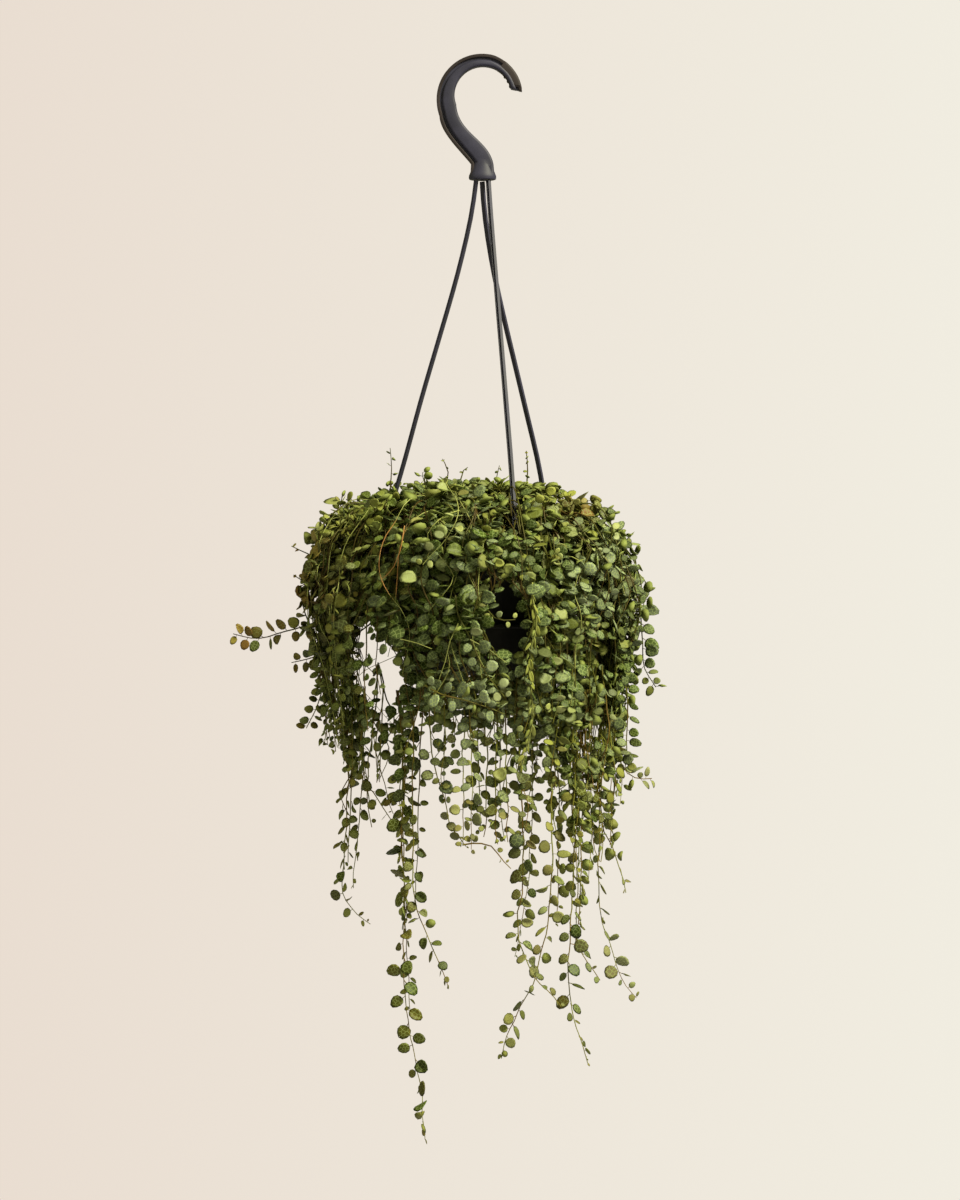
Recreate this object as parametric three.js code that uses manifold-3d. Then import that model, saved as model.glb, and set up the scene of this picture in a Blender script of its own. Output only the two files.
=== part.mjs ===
// Potted string of turtles: a trailing plant in a 15 cm hanging pot with a clip-on
// saucer and a hooked three-armed hanger. Millimetres, +Z up. The origin is the crown
// of the hook, where it bears on its rail. The front is -Y, and an azimuth runs from
// the front towards +X, so 90 is the right-hand side and 180 the back.

import * as THREE from "three";
import { mergeVertices } from "three/addons/utils/BufferGeometryUtils.js";
import Module from "manifold-3d";

// Hook, an open loop with a broad body and a lower rim round it, past a groove
const HOOK_INNER_RADIUS = 20.5;
const HOOK_OUTER_RADIUS = 33;
const HOOK_OUTER_CENTRE = { x: -0.6, z: -24 };
const HOOK_TIP_RADIUS = 29.3;
const HOOK_TAPER_FROM = 75;
const HOOK_FACET = 18;
const HOOK_TIP_ANGLE = 12;
const HOOK_HEEL_ANGLE = 200;
const HOOK_NECK_STEPS = 7;
const HOOK_RIM_WIDTH = 7.6;
const HOOK_RIM_DEPTH = 2.4;
const HOOK_GROOVE = 1.9;
const HOOK_WEB_WIDTH = 5;
const HOOK_WEB_OVERLAP = 1;
const HOOK_BODY_WIDTH = 9.4;
const HOOK_BODY_BEVEL = 1.4;
const HOOK_RIDGE_ANGLES = [18, 29, 40];
const HOOK_RIDGE = { width: 5.8, root: 3.2, crest: 1, depth: 1, sink: 0.6 };

// Neck, as the bends of its two edges and then its foot, and the collar under it
const NECK_INNER = [[-18, -48.7], [4.5, -52.5], [7.6, -71]];
const NECK_OUTER = [[-31, -47], [-16.5, -60], [-8.6, -70]];
const NECK_FOOT = { inner: 8.4, outer: -9.1, z: -79.6 };
const NECK_FLATTEN = 0.78;
const NECK_SHIFT = -0.35;
const NECK_CONE = [[0, -58], [4.8, -64], [7.2, -71], [8.4, -75.6], [9.8, -78.4]];
const NECK_SEGMENTS = 16;
const COLLAR_RADIUS = 9.8;
const COLLAR_BOTTOM = -81.6;

// Hanger arms, moulded with a rib along the outside. A route runs from the collar, as
// [radius, distance past the azimuth, z], and ends the same for all, in the pot's lug.
const ARMS = {
  front: {
    azimuth: 18,
    route: [[3.8, 2.9, -82.2], [8.6, 2.9, -105], [18.8, 2.9, -146], [46, 1.8, -239], [60, 1.2, -287.5]],
  },
  right: {
    azimuth: 138,
    route: [[3.2, 3.4, -82.2], [5.6, 3.2, -105], [15, 2.9, -146], [46.5, 1.5, -239], [63, 0.8, -287.5]],
  },
  left: {
    azimuth: -102,
    route: [[4.1, 3.2, -82.2], [7.4, 3.1, -105], [17, 2.9, -146], [45, 1.6, -239], [58.8, 1, -287.5]],
  },
};
const ARM_END = [[73.4, 0, -334], [77, 0, -345.6]];
const ARM_WIDTH = 3.5;
const ARM_RIB_WIDTH = 1.4;
const ARM_INSIDE = 1.1;
const ARM_SHOULDER = -0.2;
const ARM_OUTSIDE = -1.8;
const ARM_CLEARANCE = 2.9;
const ARM_STEPS = 20;
const ARM_SAMPLES = 60;
const BARB_WIDTH = 6.4;
const BARB_POINT = 2.4;
const BARB_LENGTH = 5.4;
const BARB_DEPTH = 2.6;
const BARB_OVERLAP = 0.4;

// Pot
const POT_TOP = -341;
const POT_RIM_RADIUS = 74;
const POT_RIM_HEIGHT = 9.5;
const POT_WALL_TOP_RADIUS = 71.6;
const POT_BASE_RADIUS = 50.5;
const POT_BASE = -433;
const POT_WALL = 1.6;
const POT_FLOOR = 2;
const POT_CORNER = 2;
const POT_RIM_EDGE = 1;
const SHELL_SEGMENTS = 30;
const LUG_RADIUS = 77.3;
const LUG = { length: 10.4, width: 11, height: 3, drop: 0.5 };
const LUG_HOLE = { length: 4.8, width: 5.6, height: 12 };
const HOLE_REACH = 9;
const STUD_HOLE_RADIUS = 4.6;
const DRAIN_RADIUS = 3.6;
const DRAIN_CIRCLE = 34;
const DRAIN_COUNT = 6;

// Saucer, held by a barbed stud through the middle of the pot
const SAUCER_TOP = -401;
const SAUCER_RADIUS = 64;
const SAUCER_BASE_RADIUS = 52.5;
const SAUCER_BASE = -437;
const SAUCER_WALL = 1.5;
const SAUCER_CORNER = 1.8;
const SAUCER_LIP = [[-0.3, -3], [1.5, -2.4], [1.5, -0.8], [0.6, 0]];
const SAUCER_FILLET = 0.8;
const SAUCER_RIB = { length: 36, width: 1.8, middle: 28, overlap: 0.3 };
const SAUCER_RIB_ANGLES = [45, 135, 225, 315];
const STUD_RADIUS = 3.6;
const STUD_HEAD_RADIUS = 5.8;
const STUD_POINT_RADIUS = 2.4;
const STUD_PLAY = 0.4;
const STUD_TOP = -424.5;
const STUD_SLIT = { length: 20, width: 1.6, bottom: -432, height: 40 };

// Soil
const SOIL_EDGE = -352;
const SOIL_MIDDLE = -349.5;
const SOIL_SLOPE = [40, -350.1];
const SOIL_GAP = 0.4;
const SOIL_SEGMENTS = 20;
const STUD_POCKET = [[0, -421.5], [7, -422.5], [8, -430.6]];
const ROOT_TOP = -342;
const ROOT_HOLE_TOP = -340;
const ROOT_CIRCLE = 52;
const ROOT_RADIUS = 2.6;
const ROOT_BOTTOM = -366;
const ROOT_HOLE_RADIUS = 3.3;
const ROOT_HOLE_BOTTOM = -368;
const CROWN_ROOT_RADIUS = 6;
const CROWN_ROOT_HOLE_RADIUS = 6.7;

// Mass of foliage: outline of its core, leaves apart, as [radius, height]
const MASS_OUTSIDE = [
  [0, -309], [48, -303], [70, -305], [91, -316], [106, -342], [112, -378], [107, -422], [100, -452],
];
const MASS_INSIDE = [
  [87, -454], [84.5, -346], [82.6, -337.5], [64, -337.5], [57, -345.5], [0, -345.5],
];
const MASS_BASE = MASS_OUTSIDE.at(-1)[1];
const MASS_SEGMENTS = 24;
const MASS_LEAN = 0.06;
const TUFTS = [
  { size: 0.028, count: 5, turn: 0.7, height: 31 },
  { size: 0.022, count: 9, turn: 0, height: -19 },
];
const HEM_FROM = -422;
const HEM_LOWEST = -515;
const HEM_DEPTH = 1.35;
const HEM_WAVE = { size: 0.2, count: 7 };
const HEM_DRAPES = [
  { middle: -62, reach: 34, depth: 1.3 },
  { middle: 60, reach: 36, depth: 1.5 },
  { middle: 160, reach: 50, depth: 0.9 },
];
const CROWN_RADIUS = 45;
const CROWN_CUT = { top: -260, bottom: -400, sides: 18 };
const CROWN_RINGS = [{ radius: 5, count: 3 }, { radius: 17, count: 5 }, { radius: 29, count: 9 }];
const CROWN_LEAF_RADIUS = 7.6;
const SHOOT_LEAF_SPACING = 12;
const BUNCH_COUNT = 12;
const BUNCH_FROM = 18;
const BUNCH_GAP = 1;
const SECTOR = { radius: 220, bottom: -620, height: 420 };

// Leaves: round and fleshy, flat below and domed above, drawn to a short stalk
const MASS_LEAF_SIDES = 6;
const TRAIL_LEAF_SIDES = 6;
const LEAF_STALK = 1.5;
const MASS_LEAF_RADIUS = 11;
const MASS_LEAF_THICKNESS = 2.8;
const MASS_ROW_SPACING = 20;
const MASS_COLUMN_SPACING = 21;
const MASS_LEAF_SINK = 1.2;
const MASS_LEAF_LEAST = 6;
const MASS_LEAF_TILT = { least: 16, spread: 20 };
const TRAIL_LEAF_RADIUS = 4.9;
const TRAIL_LEAF_THICKNESS = 1.6;
const TRAIL_LEAF_SPACING = 20;
const TRAIL_START = { inside: 26, outside: 16 };
const TIP_LEAF_RADIUS = 2.6;
const TIP_FACING = [0.6, 0.8, 0.1];
const STEM_RADIUS = 1.1;
const STEM_STEP = 30;
const TRAIL_OUTSIDE = 104;
const TRAIL_CLEARANCE = 6;

// Trailing stems, from inside the hem of their bunch to the tip, as [x, y, z]
const TRAILS = {
  1: [
    [
      [31, -106, -368], [34, -113, -386], [35.5, -114, -400], [32.5, -113, -418], [31, -111, -436],
      [33, -108, -466], [26.6, -105, -497],
    ],
    [
      [46, -75, -447], [48, -72, -529], [48, -70, -578], [46, -67, -602], [42, -65, -626], [37, -63, -647],
      [31, -61, -661], [18, -56, -687], [13.6, -54, -706],
    ],
    [
      [59, -71, -447], [63.5, -69, -529], [63.5, -67, -569], [61, -66, -612], [59.7, -64, -652],
      [62.6, -62, -671], [70, -60, -697], [73.3, -58, -710],
    ],
  ],
  2: [
    [
      [72, -55, -447], [69.5, -53, -542], [68.6, -52, -589], [66.2, -51, -623], [71.5, -49, -635],
      [82.5, -47, -652],
    ],
    [
      [84.5, -34, -447], [82.5, -32, -543], [82.6, -31, -600], [88.6, -29, -624], [94.7, -27, -644],
      [100, -26, -657], [110, -24, -667],
    ],
  ],
  3: [
    [[88, 21, -447], [86, 22, -540], [94, 20, -563], [103.7, 18, -596]],
    [[97, -7, -428], [103.5, -7, -449], [104, -7, -468], [103, -6, -490], [102, -6, -506]],
    [[102, 10, -367], [112, 12, -385], [115, 13, -408], [116, 14, -431], [126, 15, -447]],
    [[93, -13, -447], [95, -13, -489], [100.6, -12, -506], [109.7, -12, -512], [120.8, -12, -512]],
  ],
  4: [
    [[77, 48, -447], [80, 50, -520], [78, 52, -590]],
    [[67, 61, -447], [71, 61, -540], [68, 62, -640]],
  ],
  5: [
    [[52, 74, -447], [56, 78, -520], [56, 78, -570], [54.7, 78, -625]],
    [[35, 83, -447], [37, 86, -520], [33, 88, -600], [24, 90, -650]],
  ],
  6: [
    [[13, 90, -447], [13, 93, -520], [16, 95, -565]],
    [[-5, 92, -447], [-3, 92, -500], [-2, 90, -557]],
  ],
  7: [
    [[-44, 82, -447], [-48, 86, -530], [-50, 86, -610]],
    [[-58, 70, -447], [-60, 74, -560], [-54, 76, -690]],
  ],
  8: [
    [[-92, 30, -447], [-97, 28, -530], [-98, 28, -575]],
    [[-86, 34, -447], [-88, 35, -515], [-93.5, 34, -572], [-95, 33, -595]],
  ],
  9: [
    [
      [-92, -14, -447], [-96, -13, -503], [-98.6, -11, -557], [-101, -9, -585], [-97, -7, -603],
      [-80.6, -6, -616.5],
    ],
    [[-110, -16, -398], [-143, -22, -407], [-163, -24, -411], [-178.6, -25, -407.7]],
    [[-106, 10, -418], [-122, 13, -426], [-138, 15, -429]],
    [[-106, -4, -416], [-117, -4, -436], [-117, -3, -455], [-127.4, -2, -477]],
  ],
  10: [
    [[-84, -42, -447], [-86, -42, -506], [-75, -40, -523], [-60, -36, -549.6]],
    [[-70, -58, -447], [-72, -60, -480], [-72.5, -61, -512]],
  ],
  11: [
    [
      [-49, -78, -447], [-49, -78, -552], [-49.3, -77, -583], [-46, -77, -601], [-40.4, -76, -616],
      [-33.4, -76, -631], [-24, -75, -654],
    ],
    [
      [-57.4, -71, -447], [-56, -70, -517], [-55, -70, -578], [-55.8, -69, -630], [-54.6, -68, -663],
      [-52, -68, -685], [-45.5, -67, -713], [-42.4, -66, -730], [-42, -66, -751], [-40.8, -65, -762],
    ],
    [
      [-36.8, -84, -447], [-36, -84, -489], [-30.2, -84, -510], [-26.2, -85, -527], [-22.5, -85, -541],
      [-12.2, -85, -556],
    ],
  ],
  12: [
    [[-9, -92, -447], [-8, -93, -500], [-7.5, -91, -556]],
    [[9, -92, -447], [9.5, -94, -490], [8.5, -93, -530], [9.5, -92, -553]],
    [
      [23, -88, -447], [27, -86, -520], [28, -84, -578], [23.8, -84, -611], [33, -82, -643],
      [47.5, -80, -658], [54, -78, -667],
    ],
  ],
};

// Upright shoots on the crown, from the core to the tip
const SHOOTS = [
  [[-27, -12, -306], [-25, -13, -292], [-29, -13, -283]],
  [[31, -10, -306], [31, -10, -278]],
  [[8, 24, -306], [12, 27, -286]],
];

// Gaps in the curtain of stems, as outlines in the front view
const FRONT_GAP = [[5, -384], [10, -376], [48, -374], [48, -428], [12, -428], [5, -420]];
const LEFT_GAP = [[-86, -446], [-84, -410], [-78, -400], [-68, -402], [-64, -420], [-66, -448], [-76, -453]];

const MATERIALS = {
  plastic: new THREE.MeshStandardMaterial({ color: 0x26282c, roughness: 0.5, metalness: 0 }),
  pot: new THREE.MeshStandardMaterial({ color: 0x151513, roughness: 0.6, metalness: 0 }),
  soil: new THREE.MeshStandardMaterial({ color: 0x2b2018, roughness: 0.95, metalness: 0 }),
  leaf: new THREE.MeshStandardMaterial({ color: 0x3f5a2c, roughness: 0.55, metalness: 0 }),
};

const wasm = await Module();
wasm.setup();

const plant = new THREE.Group();

const radians = THREE.MathUtils.degToRad;

// A point at an azimuth and radius in the plan view
function around(azimuth, radius, z = 0) {
  const angle = radians(azimuth);
  return new THREE.Vector3(radius * Math.sin(angle), -radius * Math.cos(angle), z);
}

// Repeatable random numbers from 0 to 1
function randomFrom(seed) {
  let state = seed;
  return () => {
    state = (state + 0x6d2b79f5) | 0;
    let mixed = Math.imul(state ^ (state >>> 15), 1 | state);
    mixed = (mixed + Math.imul(mixed ^ (mixed >>> 7), 61 | mixed)) ^ mixed;
    return ((mixed ^ (mixed >>> 14)) >>> 0) / 4294967296;
  };
}

// A closed three.js geometry as a solid, turned outside out if it needs to be
function solidOf(geometry) {
  const plain = geometry.clone();
  plain.deleteAttribute("normal");
  plain.deleteAttribute("uv");
  const merged = mergeVertices(plain, 1e-3);
  const points = merged.attributes.position.array;
  const corners = [];
  let volume = 0;
  const [a, b, c] = [new THREE.Vector3(), new THREE.Vector3(), new THREE.Vector3()];
  for (let i = 0; i < merged.index.count; i += 3) {
    const [i0, i1, i2] = [0, 1, 2].map((k) => merged.index.getX(i + k));
    if (i0 === i1 || i1 === i2 || i0 === i2) continue;
    corners.push(i0, i1, i2);
    a.fromArray(points, i0 * 3);
    b.fromArray(points, i1 * 3);
    c.fromArray(points, i2 * 3);
    volume += a.dot(b.cross(c));
  }
  if (volume < 0) corners.reverse();
  return new wasm.Manifold(new wasm.Mesh({
    numProp: 3,
    vertProperties: new Float32Array(points),
    triVerts: new Uint32Array(corners),
  }));
}

function join(solids) {
  return wasm.Manifold.union(solids);
}

// The largest body of a solid, without the scraps that a cut leaves
function largest(solid) {
  return solid.decompose().sort((one, other) => other.volume() - one.volume())[0];
}

function addNode(name, solid, material) {
  const tidy = solid.simplify(0.05).getMesh();
  const geometry = new THREE.BufferGeometry();
  geometry.setAttribute("position", new THREE.BufferAttribute(tidy.vertProperties, 3));
  geometry.setIndex(new THREE.BufferAttribute(tidy.triVerts, 1));
  geometry.computeVertexNormals();
  const mesh = new THREE.Mesh(geometry, material);
  mesh.name = name;
  plant.add(mesh);
}

// A profile of [radius, height] points turned about the upright axis
function turned(profile, segments) {
  const points = profile.map(([radius, z]) => new THREE.Vector2(radius, z));
  return new THREE.LatheGeometry(points, segments).rotateX(Math.PI / 2);
}

// An outline in the front view, given thickness along Y and bevelled at its front and back edge
function slab(outline, width, bevel = 0) {
  const shape = new THREE.Shape(outline.map(([x, z]) => new THREE.Vector2(x, z)));
  const geometry = new THREE.ExtrudeGeometry(shape, {
    depth: width - 2 * bevel,
    bevelEnabled: bevel > 0,
    bevelThickness: bevel,
    bevelSize: bevel,
    bevelOffset: -bevel,
    bevelSegments: 1,
  });
  return geometry.rotateX(Math.PI / 2).translate(0, width / 2 - bevel, 0);
}

function sweep(section, curve, steps) {
  const shape = new THREE.Shape(section.map(([x, y]) => new THREE.Vector2(x, y)));
  return new THREE.ExtrudeGeometry(shape, { extrudePath: curve, steps, bevelEnabled: false });
}

function peg(radius, top, bottom, sides) {
  const geometry = new THREE.CylinderGeometry(radius, radius, top - bottom, sides);
  return geometry.rotateX(Math.PI / 2).translate(0, 0, (top + bottom) / 2);
}

// Hook

function hookEdges() {
  const angles = [HOOK_TIP_ANGLE];
  for (let angle = 1.5 * HOOK_FACET; angle < HOOK_HEEL_ANGLE; angle += HOOK_FACET) angles.push(angle);
  angles.push(HOOK_HEEL_ANGLE);
  const facetRadius = HOOK_INNER_RADIUS / Math.cos(radians(HOOK_FACET / 2));
  const inner = [];
  const outer = [];
  for (const angle of angles) {
    const turn = radians(angle);
    const taper = Math.max(0, (HOOK_TAPER_FROM - angle) / (HOOK_TAPER_FROM - HOOK_TIP_ANGLE));
    const radius = THREE.MathUtils.lerp(HOOK_OUTER_RADIUS, HOOK_TIP_RADIUS, taper);
    inner.push(new THREE.Vector2(
      facetRadius * Math.cos(turn),
      facetRadius * Math.sin(turn) - HOOK_INNER_RADIUS,
    ));
    outer.push(new THREE.Vector2(
      HOOK_OUTER_CENTRE.x + radius * Math.cos(turn),
      HOOK_OUTER_CENTRE.z + radius * Math.sin(turn),
    ));
  }
  const bend = (start, points) => {
    const curve = new THREE.CubicBezierCurve(start, ...points.map(([x, z]) => new THREE.Vector2(x, z)));
    return curve.getPoints(HOOK_NECK_STEPS).slice(1);
  };
  inner.push(...bend(inner.at(-1), NECK_INNER), new THREE.Vector2(NECK_FOOT.inner, NECK_FOOT.z));
  outer.push(...bend(outer.at(-1), NECK_OUTER), new THREE.Vector2(NECK_FOOT.outer, NECK_FOOT.z));
  return { inner, outer };
}

// A strip of the hook between two of its lines from tip to collar
function hookStrip(near, far, width, bevel) {
  const outline = [...near, ...far.toReversed()].map((point) => [point.x, point.y]);
  return solidOf(slab(outline, width, bevel));
}

function makeHook() {
  const { inner, outer } = hookEdges();
  const inset = (edge, other, depth) => edge.map((point, i) => {
    const across = other[i].clone().sub(point).setLength(depth);
    return point.clone().add(across);
  });
  const bodyDepth = HOOK_RIM_DEPTH + HOOK_GROOVE;
  const rim = hookStrip(inset(outer, inner, HOOK_RIM_DEPTH), outer, HOOK_RIM_WIDTH);
  const body = hookStrip(inner, inset(outer, inner, bodyDepth), HOOK_BODY_WIDTH, HOOK_BODY_BEVEL);
  const web = hookStrip(
    inset(outer, inner, bodyDepth + HOOK_WEB_OVERLAP), inset(outer, inner, HOOK_WEB_OVERLAP), HOOK_WEB_WIDTH);
  const tip = hookStrip(inner.slice(0, 2), outer.slice(0, 2), HOOK_WEB_WIDTH);
  const neck = turned([...NECK_CONE, [COLLAR_RADIUS, COLLAR_BOTTOM], [0, COLLAR_BOTTOM]], NECK_SEGMENTS);
  neck.scale(1, NECK_FLATTEN, 1).translate(NECK_SHIFT, 0, 0);
  const ridges = HOOK_RIDGE_ANGLES.map((angle) => {
    const { width, root, crest, depth, sink } = HOOK_RIDGE;
    const ridge = slab([
      [1 + sink, -root / 2], [-depth, -crest / 2], [-depth, crest / 2], [1 + sink, root / 2],
    ], width);
    ridge.translate(HOOK_INNER_RADIUS, 0, 0).rotateY(-radians(angle));
    return solidOf(ridge.translate(0, 0, -HOOK_INNER_RADIUS));
  });
  addNode("hook", join([rim, body, web, tip, solidOf(neck), ...ridges]), MATERIALS.plastic);
}

// Arms

// The middle line of an arm, as if it stood at azimuth 90
function armCurve({ route }) {
  return new THREE.CatmullRomCurve3([...route, ...ARM_END].map((point) => new THREE.Vector3(...point)));
}

// A box-shaped passage round an arm, to keep the foliage clear of it
function armPassage(arm) {
  const reach = ARM_CLEARANCE;
  const section = [[-reach, -reach], [reach, -reach], [reach, reach], [-reach, reach]];
  return solidOf(sweep(section, armCurve(arm), ARM_STEPS).rotateZ(radians(arm.azimuth - 90)));
}

function makeArm(name, arm) {
  const [half, rib, point] = [ARM_WIDTH / 2, ARM_RIB_WIDTH / 2, BARB_POINT / 2];
  const section = [
    [-half, ARM_INSIDE], [-half, ARM_SHOULDER], [-rib, ARM_SHOULDER], [-rib, ARM_OUTSIDE],
    [rib, ARM_OUTSIDE], [rib, ARM_SHOULDER], [half, ARM_SHOULDER], [half, ARM_INSIDE],
  ];
  const [endRadius, , endHeight] = ARM_END.at(-1);
  const top = endHeight + BARB_OVERLAP;
  const barb = slab([
    [-BARB_WIDTH / 2, top], [BARB_WIDTH / 2, top], [point, top - BARB_LENGTH], [-point, top - BARB_LENGTH],
  ], BARB_DEPTH).rotateZ(Math.PI / 2).translate(endRadius, 0, 0);
  const whole = join([solidOf(sweep(section, armCurve(arm), ARM_STEPS)), solidOf(barb)]);
  addNode(name, whole.rotate([0, 0, arm.azimuth - 90]), MATERIALS.plastic);
}

// Pot

function makePot() {
  const floor = POT_BASE + POT_FLOOR;
  const underRim = POT_TOP - POT_RIM_HEIGHT;
  const shell = turned([
    [0, POT_BASE], [POT_BASE_RADIUS - POT_CORNER, POT_BASE], [POT_BASE_RADIUS, POT_BASE + POT_CORNER],
    [POT_WALL_TOP_RADIUS, underRim], [POT_RIM_RADIUS - POT_RIM_EDGE, underRim],
    [POT_RIM_RADIUS, underRim + POT_RIM_EDGE], [POT_RIM_RADIUS, POT_TOP - POT_RIM_EDGE],
    [POT_RIM_RADIUS - POT_RIM_EDGE, POT_TOP], [POT_WALL_TOP_RADIUS - POT_WALL, POT_TOP],
    [POT_BASE_RADIUS - POT_WALL, floor], [0, floor],
  ], SHELL_SEGMENTS);
  const lugs = [];
  const floorHole = (radius, sides) => peg(radius, POT_BASE + HOLE_REACH, POT_BASE - HOLE_REACH, sides);
  const cuts = [solidOf(floorHole(STUD_HOLE_RADIUS, 12))];
  for (const { azimuth } of Object.values(ARMS)) {
    const turn = radians(azimuth - 90);
    const lug = new THREE.BoxGeometry(LUG.length, LUG.width, LUG.height);
    lugs.push(solidOf(lug.translate(LUG_RADIUS, 0, POT_TOP - LUG.drop - LUG.height / 2).rotateZ(turn)));
    const slot = new THREE.BoxGeometry(LUG_HOLE.length, LUG_HOLE.width, LUG_HOLE.height);
    cuts.push(solidOf(slot.translate(ARM_END.at(-1)[0], 0, POT_TOP).rotateZ(turn)));
  }
  for (let i = 0; i < DRAIN_COUNT; i++) {
    const place = around((360 / DRAIN_COUNT) * i, DRAIN_CIRCLE);
    cuts.push(solidOf(floorHole(DRAIN_RADIUS, 8).translate(place.x, place.y, 0)));
  }
  const pot = join([solidOf(shell), ...lugs]).subtract(join(cuts));
  addNode("pot", pot, MATERIALS.pot);
}

// Saucer

function makeSaucer() {
  const floor = SAUCER_BASE + SAUCER_WALL;
  const shell = turned([
    [0, SAUCER_BASE], [SAUCER_BASE_RADIUS - SAUCER_CORNER, SAUCER_BASE],
    [SAUCER_BASE_RADIUS, SAUCER_BASE + SAUCER_CORNER],
    ...SAUCER_LIP.map(([out, up]) => [SAUCER_RADIUS + out, SAUCER_TOP + up]),
    [SAUCER_RADIUS - SAUCER_WALL, SAUCER_TOP], [SAUCER_BASE_RADIUS - SAUCER_WALL, floor + SAUCER_FILLET],
    [SAUCER_BASE_RADIUS - SAUCER_WALL - SAUCER_FILLET, floor], [0, floor],
  ], SHELL_SEGMENTS);
  const barb = POT_BASE + POT_FLOOR + STUD_PLAY;
  const stud = turned([
    [0, floor - STUD_PLAY], [STUD_RADIUS, floor - STUD_PLAY], [STUD_RADIUS, barb],
    [STUD_HEAD_RADIUS, barb], [STUD_POINT_RADIUS, STUD_TOP], [0, STUD_TOP],
  ], 12);
  const slit = new THREE.BoxGeometry(STUD_SLIT.length, STUD_SLIT.width, STUD_SLIT.height);
  slit.translate(0, 0, STUD_SLIT.bottom + STUD_SLIT.height / 2);
  const ribs = SAUCER_RIB_ANGLES.map((angle) => {
    const rib = new THREE.BoxGeometry(SAUCER_RIB.length, SAUCER_RIB.width, POT_BASE - floor);
    rib.translate(SAUCER_RIB.middle, 0, (POT_BASE + floor) / 2 - SAUCER_RIB.overlap);
    return solidOf(rib.rotateZ(radians(angle)));
  });
  const saucer = join([solidOf(shell), solidOf(stud).subtract(solidOf(slit)), ...ribs]);
  addNode("saucer", saucer, MATERIALS.pot);
}

// Soil

function bunchMiddle(number) {
  return BUNCH_FROM + (360 / BUNCH_COUNT) * (number - 0.5);
}

function makeSoil() {
  const potInside = (z) => THREE.MathUtils.mapLinear(
    z, POT_TOP, POT_BASE + POT_FLOOR, POT_WALL_TOP_RADIUS - POT_WALL, POT_BASE_RADIUS - POT_WALL);
  const bottom = POT_BASE + POT_FLOOR + SOIL_GAP;
  const body = turned([
    ...STUD_POCKET, [potInside(bottom) - SOIL_GAP, bottom],
    [potInside(SOIL_EDGE) - SOIL_GAP, SOIL_EDGE], SOIL_SLOPE, [0, SOIL_MIDDLE],
  ], SOIL_SEGMENTS);
  const rootHole = (radius, sides) => peg(radius, ROOT_HOLE_TOP, ROOT_HOLE_BOTTOM, sides);
  const holes = [solidOf(rootHole(CROWN_ROOT_HOLE_RADIUS, 8))];
  for (let number = 1; number <= BUNCH_COUNT; number++) {
    const place = around(bunchMiddle(number), ROOT_CIRCLE);
    holes.push(solidOf(rootHole(ROOT_HOLE_RADIUS, 6).translate(place.x, place.y, 0)));
  }
  addNode("soil", solidOf(body).subtract(join(holes)), MATERIALS.soil);
}

// Foliage core: how far the mass swells at an azimuth and height

function swell(azimuth, z) {
  const angle = radians(azimuth);
  const tufts = TUFTS.map(({ size, count, turn, height }) => (
    size * Math.sin(count * angle + turn + z / height)
  ));
  return 1 - MASS_LEAN * Math.sin(angle) + tufts.reduce((sum, tuft) => sum + tuft);
}

// How much deeper the hem hangs at an azimuth, left and right of the front and at the back
function hemDepth(azimuth) {
  const bump = (middle, reach) => {
    const away = THREE.MathUtils.euclideanModulo(azimuth - middle + 180, 360) - 180;
    return Math.exp(-((away / reach) ** 2));
  };
  const drapes = HEM_DRAPES.map(({ middle, reach, depth }) => depth * bump(middle, reach));
  const wave = HEM_WAVE.size * Math.sin(radians(HEM_WAVE.count * azimuth));
  return HEM_DEPTH + drapes.reduce((sum, depth) => sum + depth) + wave;
}

function massPoint(azimuth, radius, z) {
  const grown = radius > CROWN_RADIUS ? radius * THREE.MathUtils.lerp(
    1, swell(azimuth, z), Math.min(1, (radius - CROWN_RADIUS) / CROWN_RADIUS)) : radius;
  const height = z < HEM_FROM ? HEM_FROM + (z - HEM_FROM) * hemDepth(azimuth) : z;
  return around(azimuth, grown, height);
}

function makeMass() {
  const profile = [...MASS_OUTSIDE, ...MASS_INSIDE];
  const geometry = turned(profile, MASS_SEGMENTS);
  const position = geometry.attributes.position;
  for (let i = 0; i <= MASS_SEGMENTS; i++) {
    const azimuth = (360 / MASS_SEGMENTS) * (i % MASS_SEGMENTS);
    profile.forEach(([radius, z], j) => {
      const outside = j < MASS_OUTSIDE.length;
      const place = massPoint(azimuth, radius, z);
      if (!outside) place.copy(around(azimuth, radius, place.z));
      position.setXYZ(i * profile.length + j, place.x, place.y, place.z);
    });
  }
  return solidOf(geometry);
}

// A domed leaf whose stalk ends at a root, with its blade square to a normal
function makeLeaf(root, normal, along, radius, thickness, sides) {
  const y = normal.clone().normalize();
  const x = new THREE.Vector3().crossVectors(y, along).normalize();
  const z = new THREE.Vector3().crossVectors(x, y);
  const leaf = new THREE.ConeGeometry(1, 1, sides).rotateY(Math.PI);
  const position = leaf.attributes.position;
  for (let i = 0; i < position.count; i++) {
    if (position.getZ(i) < -0.99) position.setZ(i, -LEAF_STALK);
  }
  const place = new THREE.Matrix4().makeBasis(
    x.multiplyScalar(radius), y.multiplyScalar(thickness), z.multiplyScalar(radius));
  leaf.translate(0, 0.5, LEAF_STALK).applyMatrix4(place);
  return solidOf(leaf.translate(root.x, root.y, root.z));
}

// Every route, sampled, to keep the leaves of one bunch off the stems of another

function routeCurve(route) {
  return new THREE.CatmullRomCurve3(route.map((point) => new THREE.Vector3(...point)));
}

const isOutside = (point) => point.z < MASS_BASE || Math.hypot(point.x, point.y) > TRAIL_OUTSIDE;

const trailSamples = Object.entries(TRAILS).flatMap(([number, routes]) => routes.map((route) => ({
  number: Number(number),
  points: routeCurve(route).getSpacedPoints(30).filter(isOutside),
})));

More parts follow.
